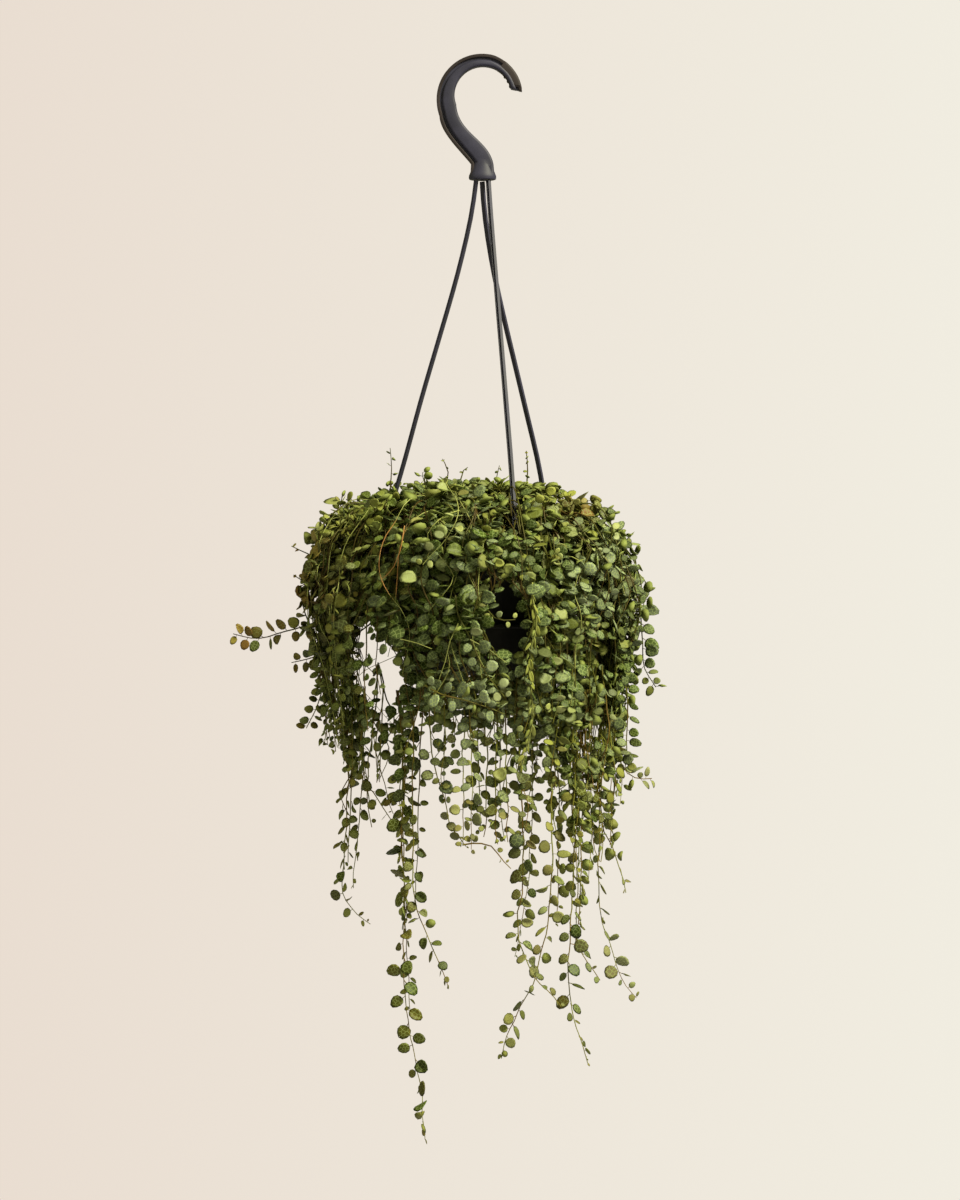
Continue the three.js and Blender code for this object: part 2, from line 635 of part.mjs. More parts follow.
const upright = new THREE.Vector3(0, 0, 1);
const armSamples = Object.values(ARMS).flatMap((arm) => (
  armCurve(arm).getSpacedPoints(ARM_SAMPLES).map((point) => (
    point.applyAxisAngle(upright, radians(arm.azimuth - 90))
  ))
));

function isClear(centre, radius, number) {
  const near = (point, reach) => point.distanceTo(centre) < radius + reach;
  if (armSamples.some((point) => near(point, ARM_CLEARANCE))) return false;
  const others = trailSamples.filter((trail) => trail.number !== number);
  return !others.some((trail) => trail.points.some((point) => near(point, TRAIL_CLEARANCE)));
}

// Whether a place is well inside a bunch's own sector
function isInSector(place, margin, number) {
  const azimuth = THREE.MathUtils.radToDeg(Math.atan2(place.x, -place.y));
  const away = Math.abs(THREE.MathUtils.euclideanModulo(azimuth - bunchMiddle(number) + 180, 360) - 180);
  return Math.hypot(place.x, place.y) * Math.sin(radians(180 / BUNCH_COUNT - away)) > margin;
}

// The outline's [radius, height] at a distance over the core from its middle, and on past the hem
function outsideAt(azimuth, length) {
  let left = length;
  let [r0, z0] = MASS_OUTSIDE[0];
  for (const [r1, z1] of MASS_OUTSIDE.slice(1)) {
    const span = massPoint(azimuth, r0, z0).distanceTo(massPoint(azimuth, r1, z1));
    if (left <= span || z1 === MASS_BASE) {
      return [THREE.MathUtils.lerp(r0, r1, left / span), THREE.MathUtils.lerp(z0, z1, left / span)];
    }
    left -= span;
    [r0, z0] = [r1, z1];
  }
}

// A leaf on the core, its stalk sunk in and its tip hanging down and standing out
function surfaceLeaf(azimuth, length, size, random, fits) {
  if (size < MASS_LEAF_LEAST) return [];
  const place = massPoint(azimuth, ...outsideAt(azimuth, length));
  const down = massPoint(azimuth, ...outsideAt(azimuth, length + 3)).sub(place).normalize();
  const across = massPoint(azimuth + 2, ...outsideAt(azimuth, length)).sub(place).normalize();
  const outward = new THREE.Vector3().crossVectors(down, across).normalize();
  const tilt = radians(MASS_LEAF_TILT.least + MASS_LEAF_TILT.spread * random());
  const along = down.multiplyScalar(Math.cos(tilt)).addScaledVector(outward, Math.sin(tilt));
  along.addScaledVector(across, 0.6 * (random() - 0.5)).normalize();
  const normal = outward.clone().addScaledVector(along, -outward.dot(along));
  const root = place.addScaledVector(outward, -MASS_LEAF_SINK);
  if (!fits(root.clone().addScaledVector(along, size * LEAF_STALK), size)) {
    return surfaceLeaf(azimuth, length, size - 0.8, random, fits);
  }
  return [makeLeaf(root, normal, along, size, MASS_LEAF_THICKNESS, MASS_LEAF_SIDES)];
}

// A trailing stem with leaves set alternately on either side and a small one at the tip
function leafyStem(route, random, spacing, fits) {
  const curve = routeCurve(route);
  const length = curve.getLength();
  const section = [0, 120, 240].map((angle) => [
    STEM_RADIUS * Math.cos(radians(angle)), STEM_RADIUS * Math.sin(radians(angle)),
  ]);
  const steps = Math.max(2, Math.round(length / STEM_STEP));
  const pieces = [solidOf(sweep(section, curve, steps))];
  const start = route[0][2] < HEM_FROM ? TRAIL_START.inside : TRAIL_START.outside;
  let side = random() < 0.5 ? 1 : -1;
  for (let run = Math.min(start, length / 3); run < length - 5; run += spacing * (0.85 + 0.3 * random())) {
    const share = run / length;
    const point = curve.getPointAt(share);
    const flow = curve.getTangentAt(share);
    const size = TRAIL_LEAF_RADIUS * (1.05 - 0.42 * share ** 2) * (0.9 + 0.2 * random());
    const outward = around(THREE.MathUtils.radToDeg(Math.atan2(point.x, -point.y)), 1);
    outward.applyAxisAngle(flow, radians(90 * (random() - 0.5)));
    const across = new THREE.Vector3().crossVectors(flow, outward).normalize();
    const droop = 0.25 + 0.3 * random();
    side = -side;
    for (const turn of [side, -side]) {
      const along = across.clone().multiplyScalar(turn).addScaledVector(flow, droop).normalize();
      if (!fits(point.clone().addScaledVector(along, size * LEAF_STALK), size)) continue;
      const normal = new THREE.Vector3().crossVectors(along, flow).normalize();
      const root = point.clone().addScaledVector(along, -0.3);
      pieces.push(makeLeaf(root, normal, along, size, TRAIL_LEAF_THICKNESS, TRAIL_LEAF_SIDES));
      break;
    }
  }
  const tip = curve.getPointAt(1);
  const flow = curve.getTangentAt(1);
  const face = new THREE.Vector3().crossVectors(flow, new THREE.Vector3(...TIP_FACING)).normalize();
  tip.addScaledVector(flow, -1);
  pieces.push(makeLeaf(tip, face, flow, TIP_LEAF_RADIUS, TRAIL_LEAF_THICKNESS, TRAIL_LEAF_SIDES));
  return pieces;
}

// The sector that one bunch fills, as a prism
function sector(number) {
  const middle = bunchMiddle(number);
  const halfAngle = 180 / BUNCH_COUNT;
  const apex = around(middle, BUNCH_GAP / 2 / Math.sin(radians(halfAngle)));
  const sides = [-halfAngle, halfAngle].map((offset) => around(middle + offset, SECTOR.radius).add(apex));
  const corners = [apex, ...sides];
  const shape = new THREE.Shape(corners.map((point) => new THREE.Vector2(point.x, point.y)));
  const prism = new THREE.ExtrudeGeometry(shape, { depth: SECTOR.height, bevelEnabled: false });
  return solidOf(prism.translate(0, 0, SECTOR.bottom));
}

function massLeaves(number) {
  const random = randomFrom(100 + number);
  const middle = bunchMiddle(number);
  const halfAngle = 180 / BUNCH_COUNT;
  const fits = (centre, size) => isClear(centre, size, number) && isInSector(centre, size * 0.9, number);
  const leaves = [];
  let wide = false;
  for (let length = CROWN_RADIUS + 4; ; length += MASS_ROW_SPACING) {
    const [radius, z] = outsideAt(middle, length);
    if (z < MASS_BASE) break;
    const width = 2 * radius * Math.sin(radians(halfAngle));
    const columns = Math.floor(width / MASS_COLUMN_SPACING) + (wide ? 1 : 0);
    for (let column = 0; column < columns; column++) {
      const share = (column + 0.5) / columns - 0.5;
      const azimuth = middle + 2 * halfAngle * (share + 0.16 * (random() - 0.5) / columns);
      const room = radius * Math.sin(radians(halfAngle - Math.abs(azimuth - middle)));
      const size = Math.min(MASS_LEAF_RADIUS * (0.86 + 0.28 * random()), room);
      leaves.push(...surfaceLeaf(azimuth, length + 5 * (random() - 0.5), size, random, fits));
    }
    wide = !wide;
  }
  return leaves;
}

function makeBunches(mass, passages, gaps) {
  const crown = solidOf(peg(CROWN_RADIUS + BUNCH_GAP / 2, CROWN_CUT.top, CROWN_CUT.bottom, CROWN_CUT.sides));
  for (let number = 1; number <= BUNCH_COUNT; number++) {
    const root = around(bunchMiddle(number), ROOT_CIRCLE);
    const core = mass.intersect(sector(number)).subtract(crown).subtract(gaps(number));
    const stem = solidOf(peg(ROOT_RADIUS, ROOT_TOP, ROOT_BOTTOM, 6).translate(root.x, root.y, 0));
    const random = randomFrom(500 + number);
    const fits = (centre, size) => isClear(centre, size, number)
      && (centre.z < HEM_LOWEST || isInSector(centre, size + BUNCH_GAP, number));
    const trails = TRAILS[number].flatMap((route) => leafyStem(route, random, TRAIL_LEAF_SPACING, fits));
    const bunch = join([largest(core), stem, ...massLeaves(number), ...trails]).subtract(passages);
    addNode(`bunch_${String(number).padStart(2, "0")}`, largest(bunch), MATERIALS.leaf);
  }
}

function makeCrown(mass) {
  const random = randomFrom(77);
  const inside = peg(CROWN_RADIUS - BUNCH_GAP / 2, CROWN_CUT.top, CROWN_CUT.bottom, CROWN_CUT.sides);
  const core = mass.intersect(solidOf(inside));
  const pieces = [core, solidOf(peg(CROWN_ROOT_RADIUS, ROOT_TOP, ROOT_BOTTOM, 8))];
  for (const { radius, count } of CROWN_RINGS) {
    for (let i = 0; i < count; i++) {
      const azimuth = (360 / count) * (i + 0.3 * random()) + radius;
      pieces.push(...surfaceLeaf(azimuth, radius, CROWN_LEAF_RADIUS, random, () => true));
    }
  }
  for (const route of SHOOTS) pieces.push(...leafyStem(route, random, SHOOT_LEAF_SPACING, () => true));
  addNode("crown", largest(join(pieces)), MATERIALS.leaf);
}

function makeFoliage() {
  const mass = makeMass();
  const passages = join(Object.values(ARMS).map(armPassage));
  const frontGap = solidOf(slab(FRONT_GAP, 60).translate(0, -105, 0));
  const leftGap = solidOf(slab(LEFT_GAP, 300));
  const gaps = (number) => (number === BUNCH_COUNT ? join([frontGap, leftGap]) : leftGap);
  makeBunches(mass, passages, gaps);
  makeCrown(mass);
}

makeHook();
for (const [side, arm] of Object.entries(ARMS)) makeArm(`arm_${side}`, arm);
makePot();
makeSaucer();
makeSoil();
makeFoliage();

export default plant;
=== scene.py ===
"""Potted string of turtles: a trailing plant in a hanging pot, dressed round its frame.

Metres, +Z up. The origin is the crown of the hook and the front is -Y. An azimuth is in
degrees in the plan, from the front towards +X, so 90 is the right-hand side.
"""

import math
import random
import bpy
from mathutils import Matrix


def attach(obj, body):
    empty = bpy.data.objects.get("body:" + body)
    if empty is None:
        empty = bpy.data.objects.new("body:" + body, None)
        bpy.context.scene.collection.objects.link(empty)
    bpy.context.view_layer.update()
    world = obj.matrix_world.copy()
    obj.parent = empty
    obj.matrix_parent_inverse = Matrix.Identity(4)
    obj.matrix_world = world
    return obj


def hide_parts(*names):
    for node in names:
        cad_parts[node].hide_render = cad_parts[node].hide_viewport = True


bl_info = {
    "name": "Potted String of Turtles",
    "version": (1, 0, 0),
    "blender": (4, 5, 0),
    "location": "3D View > Sidebar > Turtles",
    "description": "Dresses a hanging pot with a trailing string-of-turtles plant",
    "category": "Add Mesh",
}

import bmesh
import bpy
import numpy as np
from bpy.props import FloatProperty, FloatVectorProperty, IntProperty, PointerProperty
from bpy.types import Operator, Panel, PropertyGroup
from mathutils import Matrix, Vector, noise

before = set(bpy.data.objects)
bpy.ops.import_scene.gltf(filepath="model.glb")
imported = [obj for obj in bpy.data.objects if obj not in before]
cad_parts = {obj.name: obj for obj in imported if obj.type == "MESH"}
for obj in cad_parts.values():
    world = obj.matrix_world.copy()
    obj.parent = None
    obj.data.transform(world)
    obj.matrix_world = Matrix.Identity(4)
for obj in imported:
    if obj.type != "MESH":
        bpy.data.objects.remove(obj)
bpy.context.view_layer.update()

UP = Vector((0.0, 0.0, 1.0))
FRONT = Vector((0.0, -1.0, 0.0))
BUNCH_COUNT = 12
BUNCH_STEP = 360 / BUNCH_COUNT
FRONT_ARM_AZIMUTH = 18

# Outline of the foliage without its outer leaves, from the middle of the top, as (radius, height)
OUTLINE = [
    (0.0, -0.311), (0.048, -0.306), (0.070, -0.308), (0.091, -0.318),
    (0.106, -0.342), (0.112, -0.378), (0.107, -0.422), (0.100, -0.452), (0.097, -0.466),
]
OUTLINE_LENGTH = sum(math.dist(a, b) for a, b in zip(OUTLINE, OUTLINE[1:]))
CROWN_RADIUS = 0.045
SHOULDER_TOP = -0.306
SHOULDER_SIDE = -0.368

# How the mass swells round the pot: size, turns round it, phase, millimetres of height to a radian.
# It is fuller on the left, and its top falls a little to the right
SWELL_WAVES = [(0.028, 5, 0.7, 31), (0.022, 9, 0.0, -19)]
RIGHT_LEAN = 0.06
LEFT_LEAN = 0.09
RIGHT_FALL = 0.012

# The hem's depth and its waves, and the stretches that hang deeper, as (azimuth, reach, extra depth)
HEM_FROM = -0.422
HEM_DEPTH = 1.2
HEM_WAVE = 0.2
HEM_WAVES_ROUND = 7
HEM_DRAPES = [(-62, 34, 1.3), (60, 36, 1.5), (160, 50, 0.9)]

# The camera of the front view: its distance, the point it looks at, and the plane of the front leaves
VIEW_DISTANCE = 2.4
VIEW_MIDDLE = (-0.00216, 0.0, -0.384)
FRONT_PLANE = -0.08

# Windows that the leaves leave open, on the plane of the front leaves: middle x, z, half width, half height
POT_WINDOW = (0.0175, -0.3990, 0.0145, 0.024)
POT_WINDOW_BACK = -0.03
LEFT_WINDOWS = [
    (-0.0800, -0.4150, 0.0115, 0.018),
    (-0.0685, -0.4475, 0.0125, 0.022),
    (-0.0843, -0.4340, 0.0070, 0.017),
    (-0.0670, -0.4205, 0.0075, 0.012),
]
HEM_WINDOWS = [
    (-0.0450, -0.4680, 0.0045, 0.014),
    (-0.0168, -0.4780, 0.0042, 0.023),
    (0.0062, -0.4745, 0.0050, 0.006),
    (-0.0732, -0.5050, 0.0080, 0.026),
    (-0.0397, -0.5380, 0.0080, 0.042),
    (-0.0140, -0.5685, 0.0180, 0.020),
]

# The ragged edge of a window, the share of stems that end there, how far the others keep off its middle,
# and the number of points that a stem has before it can end
WINDOW_EDGE = (0.5, 1.0)
WINDOW_ENDS = 0.6
WINDOW_CLEARANCE = (1.0, 1.5)
SHORTEST_STEM = 3

# The front arm's route as (radius, height), and the groove that the leaves leave along it
ARM_ROUTE = [(0.046, -0.239), (0.060, -0.2875), (0.0734, -0.334), (0.077, -0.3456)]
ARM_GROOVE = 0.0058
ARM_GROOVE_LOWEST = -0.337

# Pockets in the mass and gaps in the curtain of stems, where a noise passes a level
POCKET_SCALE = 42.0
POCKET_LEVEL = 0.16
GAP_SCALE = (40.0, 24.0)
GAP_LEVEL = 0.24
GAP_FROM = -0.472

# Paths: the step between their points, the steps of the curve between two of a route's points, and how
# far a stem bends aside at its leaves
PATH_STEP = 0.003
CURVE_STEPS = 12
KINK = 0.0008
FEATURE_KINK = 0.0013

# Draped paths: turn and sway in degrees, the stretch that comes up from the root, and rise and fall
DRAPE_STEP = 0.012
DRAPE_TURN = 16
DRAPE_SWAYS = (0.7, 3.2)
DRAPE_SWAY = (1.0, 3.2)
DRAPE_ROOT_DEPTH = 0.016
DRAPE_ROOT_SHARE = 0.2
DRAPE_RISE = 0.003

# Hanging paths: their bends, which grow from the top down, and how far they draw in
HANG_STEP = 0.02
HANG_BENDS = (0.4, 1.8)
HANG_BEND = (0.003, 0.009)
HANG_TOP_BEND = 0.3
HANG_DRAW_IN = 0.06

# Companion paths: how much of their trail they go along, and how they wind round it
COMPANION_SHARE = (0.22, 0.55)
COMPANION_BENDS = (0.8, 2.4)
COMPANION_BEND = (0.0021, 0.0042)

# Tufts: where along the outline they root, how deep, and how they lean, bend and grow
TUFT_ROOTS = (0.035, 0.135)
TUFT_SINK = 0.005
TUFT_TURN = 60
TUFT_LEAN = (0.1, 0.8)
TUFT_BEND = (0.25, 0.25, 0.1)
TUFT_STEPS = 3
TUFT_STEP = (0.003, 0.0065)

# Stems on the middle of the top: how far out they root, and how they turn, rise and fall
CROWN_ROOTS = (0.004, 0.03)
CROWN_POINTS = 6
CROWN_STEP = 0.008
CROWN_TURN = 9
CROWN_RISE = 0.004
CROWN_RISE_TURN = 2.1
CROWN_SINK = 0.002
CROWN_ROOT_DEPTH = 0.02

# The leaf that all are copied from, in leaf radii: a shaped sphere of two rings, and a cone for its stalk
LEAF_SIDES = 10
LEAF_RINGS = 2
SPHERE_RING_HEIGHT = 0.5
SPHERE_RING_RADIUS = math.sin(math.pi / 3)
NEAR_RING = 0.2
NEAR_END = 0.9
LEAF_STALK = 0.42
LEAF_DOME = 0.09
LEAF_BELLY = 0.05
LEAF_INNER_RADIUS = 0.66
LEAF_INNER_RISE = 0.8
LEAF_POINT = 0.14
LEAF_HEEL = 0.07
LEAF_LIFT = 0.02
STALK_SIDES = 3
STALK_ROOT_RADIUS = 0.085
STALK_END_RADIUS = 0.05
STALK_IN_BLADE = 0.35
STALK_SHIFT = 0.2

# The forms that single leaves have: most are broad and nearly flat, some narrow, some folded
BREADTH = (0.78, 1.02)
NARROW_BREADTH = (0.5, 0.75)
NARROW_SHARE = 0.25
CURL = (-0.2, 0.12)
FOLD = (-0.1, 0.3)
DEEP_FOLD = (0.3, 0.9)
FOLDED_SHARE = 0.3

# How leaves stand along a stem; sizes are shares of their stem's as (least, largest, commonest)
LEAF_SIZES = (0.5, 1.16, 0.97)
LEAF_GAPS = (0.75, 1.3)
FIRST_GAP = (0.2, 1.0)
TIP_LENGTH = 0.026
TIP_GAP = 0.55
TIP_YOUTH = 0.6
TWIST_RATE = 45.0
FACE_LEAN = 0.3
FACE_RISE = 0.3
EDGE_ON_SPREAD = 1.5
TOP_EDGE_ON = 0.25
TOP_FROM = -0.336
LEAST_ASIDE = 0.01

# How the stems differ from each other in age and in bloom, and the leaves along one stem
STEM_TONE = 0.2
STEM_SHEEN = (0.06, 0.26)
AGE_SPREAD = 0.16
SILVER_SPREAD = 0.15
BRONZE_RANGE = (0.0, 1.3)
STRAY_BRONZE = 0.25
STRAY_BRONZE_SHARE = 0.03

# Spots where the leaves are younger, or older with a minus, more bronzed or more silvery than elsewhere:
# middle x, z, reach, how much
NEW_GROWTH = (0.006, -0.366, 0.017, 0.6)
NEW_GROWTH_BEHIND = 0.4
YOUNGER = [(-0.100, -0.318, 0.030, 0.6), (0.020, -0.315, 0.030, 0.3), (0.062, -0.400, 0.020, 0.2),
           (0.075, -0.420, 0.035, 0.25), (-0.010, -0.455, 0.045, -0.3)]
# The second bronzed spot, on the far left, is partly the leaves' flush and partly painted shade on the side
# away from the key lamp
BRONZE_AND_SHADE_SPOTS = [(0.066, -0.318, 0.016, 0.8), (-0.130, -0.370, 0.035, 0.6)]
# The first silvered spot, on the right, is a painted highlight on the side that the key lamp lights most; the
# others are the leaves' own bloom
SILVER_AND_HIGHLIGHT_SPOTS = [(0.080, -0.362, 0.032, 0.8), (-0.010, -0.350, 0.030, 0.25), (0.050, -0.460, 0.045, 0.4),
            (-0.012, -0.448, 0.026, 0.5)]

# Age and silver of the leaves elsewhere, and the patches of age: how much, and radians a metre
GROWN_AGE = 0.85
PLAIN_SILVER = 0.06
AGE_PATCHES = 0.2
PATCH_RATES = (61, 53, 47, 71)

# The net of veins: its scale and raggedness, how far it moves from leaf to leaf, and the veins' edges
NET_SCALE = 3.8
NET_RAGGED = 0.7
NET_SHIFT = (37.0, 91.0)
VEIN_EDGES = (0.01, 0.11)

# Heights between which stems lose the painted shade that darkens them in the mass
STEM_SHADE_ENDS = (-0.42, -0.49)

# Zones where the newest stems are flushed red: for each side of a zone, its axis and its soft edge inwards
FLUSH_ZONES = [
    [("X", -0.045, -0.055), ("X", -0.088, -0.078), ("Z", -0.325, -0.333), ("Z", -0.385, -0.377)],
    [("X", 0.050, 0.060), ("Z", -0.345, -0.335)],
]

# Hook, as in the frame: inner and outer circle as (middle, radius), then the bends of the neck's edges
HOOK_INNER = ((0.0, -0.0205), 0.0205)
HOOK_OUTER = ((-0.0006, -0.024), 0.0328)
HOOK_TIP_RADIUS = 0.0293
HOOK_TAPER_FROM = 75
HOOK_TIP_ANGLE = 12
HOOK_HEEL_ANGLE = 200
HOOK_STEP = 4
NECK_INNER = [(-0.018, -0.0487), (0.0045, -0.0525), (0.0076, -0.071), (0.0084, -0.0796)]
NECK_OUTER = [(-0.031, -0.047), (-0.0165, -0.060), (-0.0086, -0.070), (-0.0091, -0.0796)]
NECK_STEPS = 24
HOOK_RIM_DEPTH = 0.0024
HOOK_RIM_WIDTH = 0.0076
HOOK_GROOVE = 0.0019
HOOK_OVERLAP = 0.001
HOOK_WEB_WIDTH = 0.005
HOOK_BODY_WIDTH = 0.0094
HOOK_TIP_WIDTH = 0.0086
HOOK_TIP_STEPS = 13
HOOK_SKIN = 0.0002
HOOK_EDGE = 0.0004
HOOK_BODY_EDGE = 0.0016
COLLAR_PROFILE = [
    (0.0, -0.056), (0.003, -0.0595), (0.0055, -0.0655), (0.0072, -0.071), (0.0082, -0.0746),
    (0.0092, -0.0772), (0.0098, -0.0786), (0.0099, -0.0803), (0.0095, -0.0813), (0.0086, -0.0816),
    (0.0, -0.0816),
]
COLLAR_SIDES = 40
COLLAR_FLATTEN = 0.78
COLLAR_SHIFT = -0.00035
WELD = 0.00001
RIDGE_ANGLES = (18, 29, 40)
RIDGE_SIDES = 12
RIDGE_RADIUS = 0.0016
RIDGE_LENGTH = 0.0058
RIDGE_SINK = 0.0008
SMOOTH_ANGLE = 32

# The stage: a floor far below, the reach of the room's shading, the camera's sensor and two lamps
FLOOR = -2.0
FLOOR_RADIUS = 4.5
FLOOR_SIDES = 64
ROOM_SPREAD = 0.15
SENSOR_HEIGHT = 24
KEY_PLACE = (1.85, -1.5, 1.85)
KEY_SIZE = 1.0
FILL_PLACE = (-2.2, -1.6, 0.5)
FILL_SIZE = 2.2

# Trailing stems from inside the hem of their bunch to the tip, the same as in the frame
TRAILS = {
    1: [
        [(.031, -.106, -.368), (.034, -.113, -.386), (.0355, -.114, -.400), (.0325, -.113, -.418),
         (.031, -.111, -.436), (.033, -.108, -.466), (.0266, -.105, -.497)],
        [(.046, -.075, -.447), (.048, -.072, -.529), (.048, -.070, -.578), (.046, -.067, -.602),
         (.042, -.065, -.626), (.037, -.063, -.647), (.031, -.061, -.661), (.018, -.056, -.687),
         (.0136, -.054, -.706)],
        [(.059, -.071, -.447), (.0635, -.069, -.529), (.0635, -.067, -.569), (.061, -.066, -.612),
         (.0597, -.064, -.652), (.0626, -.062, -.671), (.070, -.060, -.697), (.0733, -.058, -.710)],
    ],
    2: [
        [(.072, -.055, -.447), (.0695, -.053, -.542), (.0686, -.052, -.589), (.0662, -.051, -.623),
         (.0715, -.049, -.635), (.0825, -.047, -.652)],
        [(.0845, -.034, -.447), (.0825, -.032, -.543), (.0826, -.031, -.600), (.0886, -.029, -.624),
         (.0947, -.027, -.644), (.100, -.026, -.657), (.110, -.024, -.667)],
    ],
    3: [
        [(.088, .021, -.447), (.086, .022, -.540), (.094, .020, -.563), (.1037, .018, -.596)],
        [(.097, -.007, -.428), (.1035, -.007, -.449), (.104, -.007, -.468), (.103, -.006, -.490),
         (.102, -.006, -.506)],
        [(.102, .010, -.367), (.112, .012, -.385), (.115, .013, -.408), (.116, .014, -.431),
         (.126, .015, -.447)],
        [(.093, -.013, -.447), (.095, -.013, -.489), (.1006, -.012, -.506), (.1097, -.012, -.512),
         (.1208, -.012, -.512)],
    ],
    4: [
        [(.077, .048, -.447), (.080, .050, -.520), (.078, .052, -.590)],
        [(.067, .061, -.447), (.071, .061, -.540), (.068, .062, -.640)],
    ],
    5: [
        [(.052, .074, -.447), (.056, .078, -.520), (.056, .078, -.570), (.0547, .078, -.625)],
        [(.035, .083, -.447), (.037, .086, -.520), (.033, .088, -.600), (.024, .090, -.650)],
    ],
    6: [
        [(.013, .090, -.447), (.013, .093, -.520), (.016, .095, -.565)],
        [(-.005, .092, -.447), (-.003, .092, -.500), (-.002, .090, -.557)],
    ],
    7: [
        [(-.044, .082, -.447), (-.048, .086, -.530), (-.050, .086, -.610)],
        [(-.058, .070, -.447), (-.060, .074, -.560), (-.054, .076, -.690)],
    ],
    8: [
        [(-.092, .030, -.447), (-.097, .028, -.530), (-.098, .028, -.575)],
        [(-.086, .034, -.447), (-.088, .035, -.515), (-.0935, .034, -.572), (-.095, .033, -.595)],
    ],
    9: [
        [(-.092, -.014, -.447), (-.096, -.013, -.503), (-.0986, -.011, -.557), (-.101, -.009, -.585),
         (-.097, -.007, -.603), (-.0806, -.006, -.6165)],
        [(-.110, -.016, -.398), (-.143, -.022, -.407), (-.163, -.024, -.411), (-.1786, -.025, -.4077)],
        [(-.106, .010, -.418), (-.122, .013, -.426), (-.138, .015, -.429)],
        [(-.106, -.004, -.416), (-.117, -.004, -.436), (-.117, -.003, -.455), (-.1274, -.002, -.477)],
    ],
    10: [
        [(-.084, -.042, -.447), (-.086, -.042, -.506), (-.075, -.040, -.523), (-.060, -.036, -.5496)],
        [(-.070, -.058, -.447), (-.072, -.060, -.480), (-.0725, -.061, -.512)],
    ],
    11: [
        [(-.049, -.078, -.447), (-.049, -.078, -.552), (-.0493, -.077, -.583), (-.046, -.077, -.601),
         (-.0404, -.076, -.616), (-.0334, -.076, -.631), (-.024, -.075, -.654)],
        [(-.0574, -.071, -.447), (-.056, -.070, -.517), (-.055, -.070, -.578), (-.0558, -.069, -.630),
         (-.0546, -.068, -.663), (-.052, -.068, -.685), (-.0455, -.067, -.713), (-.0424, -.066, -.730),
         (-.042, -.066, -.751), (-.0408, -.065, -.762)],
        [(-.0368, -.084, -.447), (-.036, -.084, -.489), (-.0302, -.084, -.510), (-.0262, -.085, -.527),
         (-.0225, -.085, -.541), (-.0122, -.085, -.556)],
    ],
    12: [
        [(-.009, -.092, -.447), (-.008, -.093, -.500), (-.0075, -.091, -.556)],
        [(.009, -.092, -.447), (.0095, -.094, -.490), (.0085, -.093, -.530), (.0095, -.092, -.553)],
        [(.023, -.088, -.447), (.027, -.086, -.520), (.028, -.084, -.578), (.0238, -.084, -.611),
         (.033, -.082, -.643), (.0475, -.080, -.658), (.054, -.078, -.667)],
    ],
}

# Seeds of the random draws of the bunches, to which a bunch's number is added, and of the crown
BUNCH_SEED = 300
UNDER_SEED = 600
CROWN_SEED = 77

# The trail that is new growth: its bunch and its place in the list, and a second stem close beside it
BRIGHT_TRAIL = (1, 0)
BRIGHT_TWIN = (0.0008, -0.0006, 0.0)
BRIGHT_GAP = 0.55
BRIGHT_LEAF = 0.8

# Trails that stray out to the sides, with open leaves up to their tips: sizes as shares of a grown leaf
STRAYS = {(3, 1): 0.9, (3, 2): 1.1, (3, 3): 0.95, (9, 1): 0.9, (9, 2): 0.8, (9, 3): 0.72}
STRAY_GAP = 0.72

# Leaf sizes of single trails, and of all the others, as shares of a grown leaf
TRAIL_LEAVES = {(11, 1): 1.1, (11, 0): 0.8, (7, 0): 0.75, (7, 1): 0.7, (9, 0): 0.88, (10, 0): 0.85}
TRAIL_LEAF = 0.92
TRAIL_GAP = 1.16

# Trails at the back left, seen through the gaps, with few leaves
SPARSE_TRAILS = ((7, 0), (7, 1), (8, 0), (8, 1))
SPARSE_GAP = 1.7

# Trails that have other numbers of companion stems than the rest, and the companions' leaves as a share
# of their trail's
COMPANIONS = {
    (1, 2): 3, (2, 0): 3, (2, 1): 3, (3, 0): 3, (3, 1): 0, (3, 2): 0, (3, 3): 0, (7, 0): 0, (7, 1): 0,
    (8, 0): 1, (8, 1): 1, (9, 1): 0, (9, 2): 0, (9, 3): 0, (10, 0): 0, (10, 1): 0, (11, 0): 0, (11, 2): 0,
}
COMPANION_LEAF = 0.9

# Extra hanging stems: the share of them that a bunch has, and the rest of the bunches, where they start
# and end, and their leaves
HANGING_SHARE = {1: 0.5, 2: 0.6, 3: 0.6, 12: 0.4}
HANGING_REST = 0.2
HANGING_TOP = -0.430
HANGING_BOTTOM = -0.476
HANGING_DRAPE = 0.05
HANGING_DRAPED = (0.1, 1.15)
HANGING_SPREAD = 0.035
HANGING_RADIUS = (0.072, 0.102)
HANGING_LEAF = 0.82
HANGING_GAP = 1.12

# Draped stems: where they root and end along the outline, how far off it they lie, their leaves, where
# these form pockets, and the share of the outer stems that are new, light and thin
DRAPED_ROOTS = (0.035, 0.125)
DRAPED_ENDS = (0.78, 1.0, 0.93)
DRAPED_DEPTH = (-0.018, 0.006)
DRAPED_LEAVES = (0.8, 1.15)
POCKETS_ABOVE = -0.006
LIGHT_SHARE = 0.3
LIGHT_THICKNESS = 0.65
STEM_TAPER = 0.5

# Short stems just under the top, and tufts on it
UNDER_ROOTS = (0.045, 0.08)
UNDER_LENGTH = (0.05, 0.075)
UNDER_DEPTH = (-0.011, -0.004)
TUFT_LEAF = 0.95
TUFT_GAP = 0.7

# Stems in front of the rest: how young the light ones are, and their leaves; leaves of the upright shoots
LIGHT_YOUTH = 0.5
FEATURE_GAP = 1.2
FEATURE_TIP = 0.6
SHOOT_GAP = 0.006
SHOOT_LEAF = 0.0024

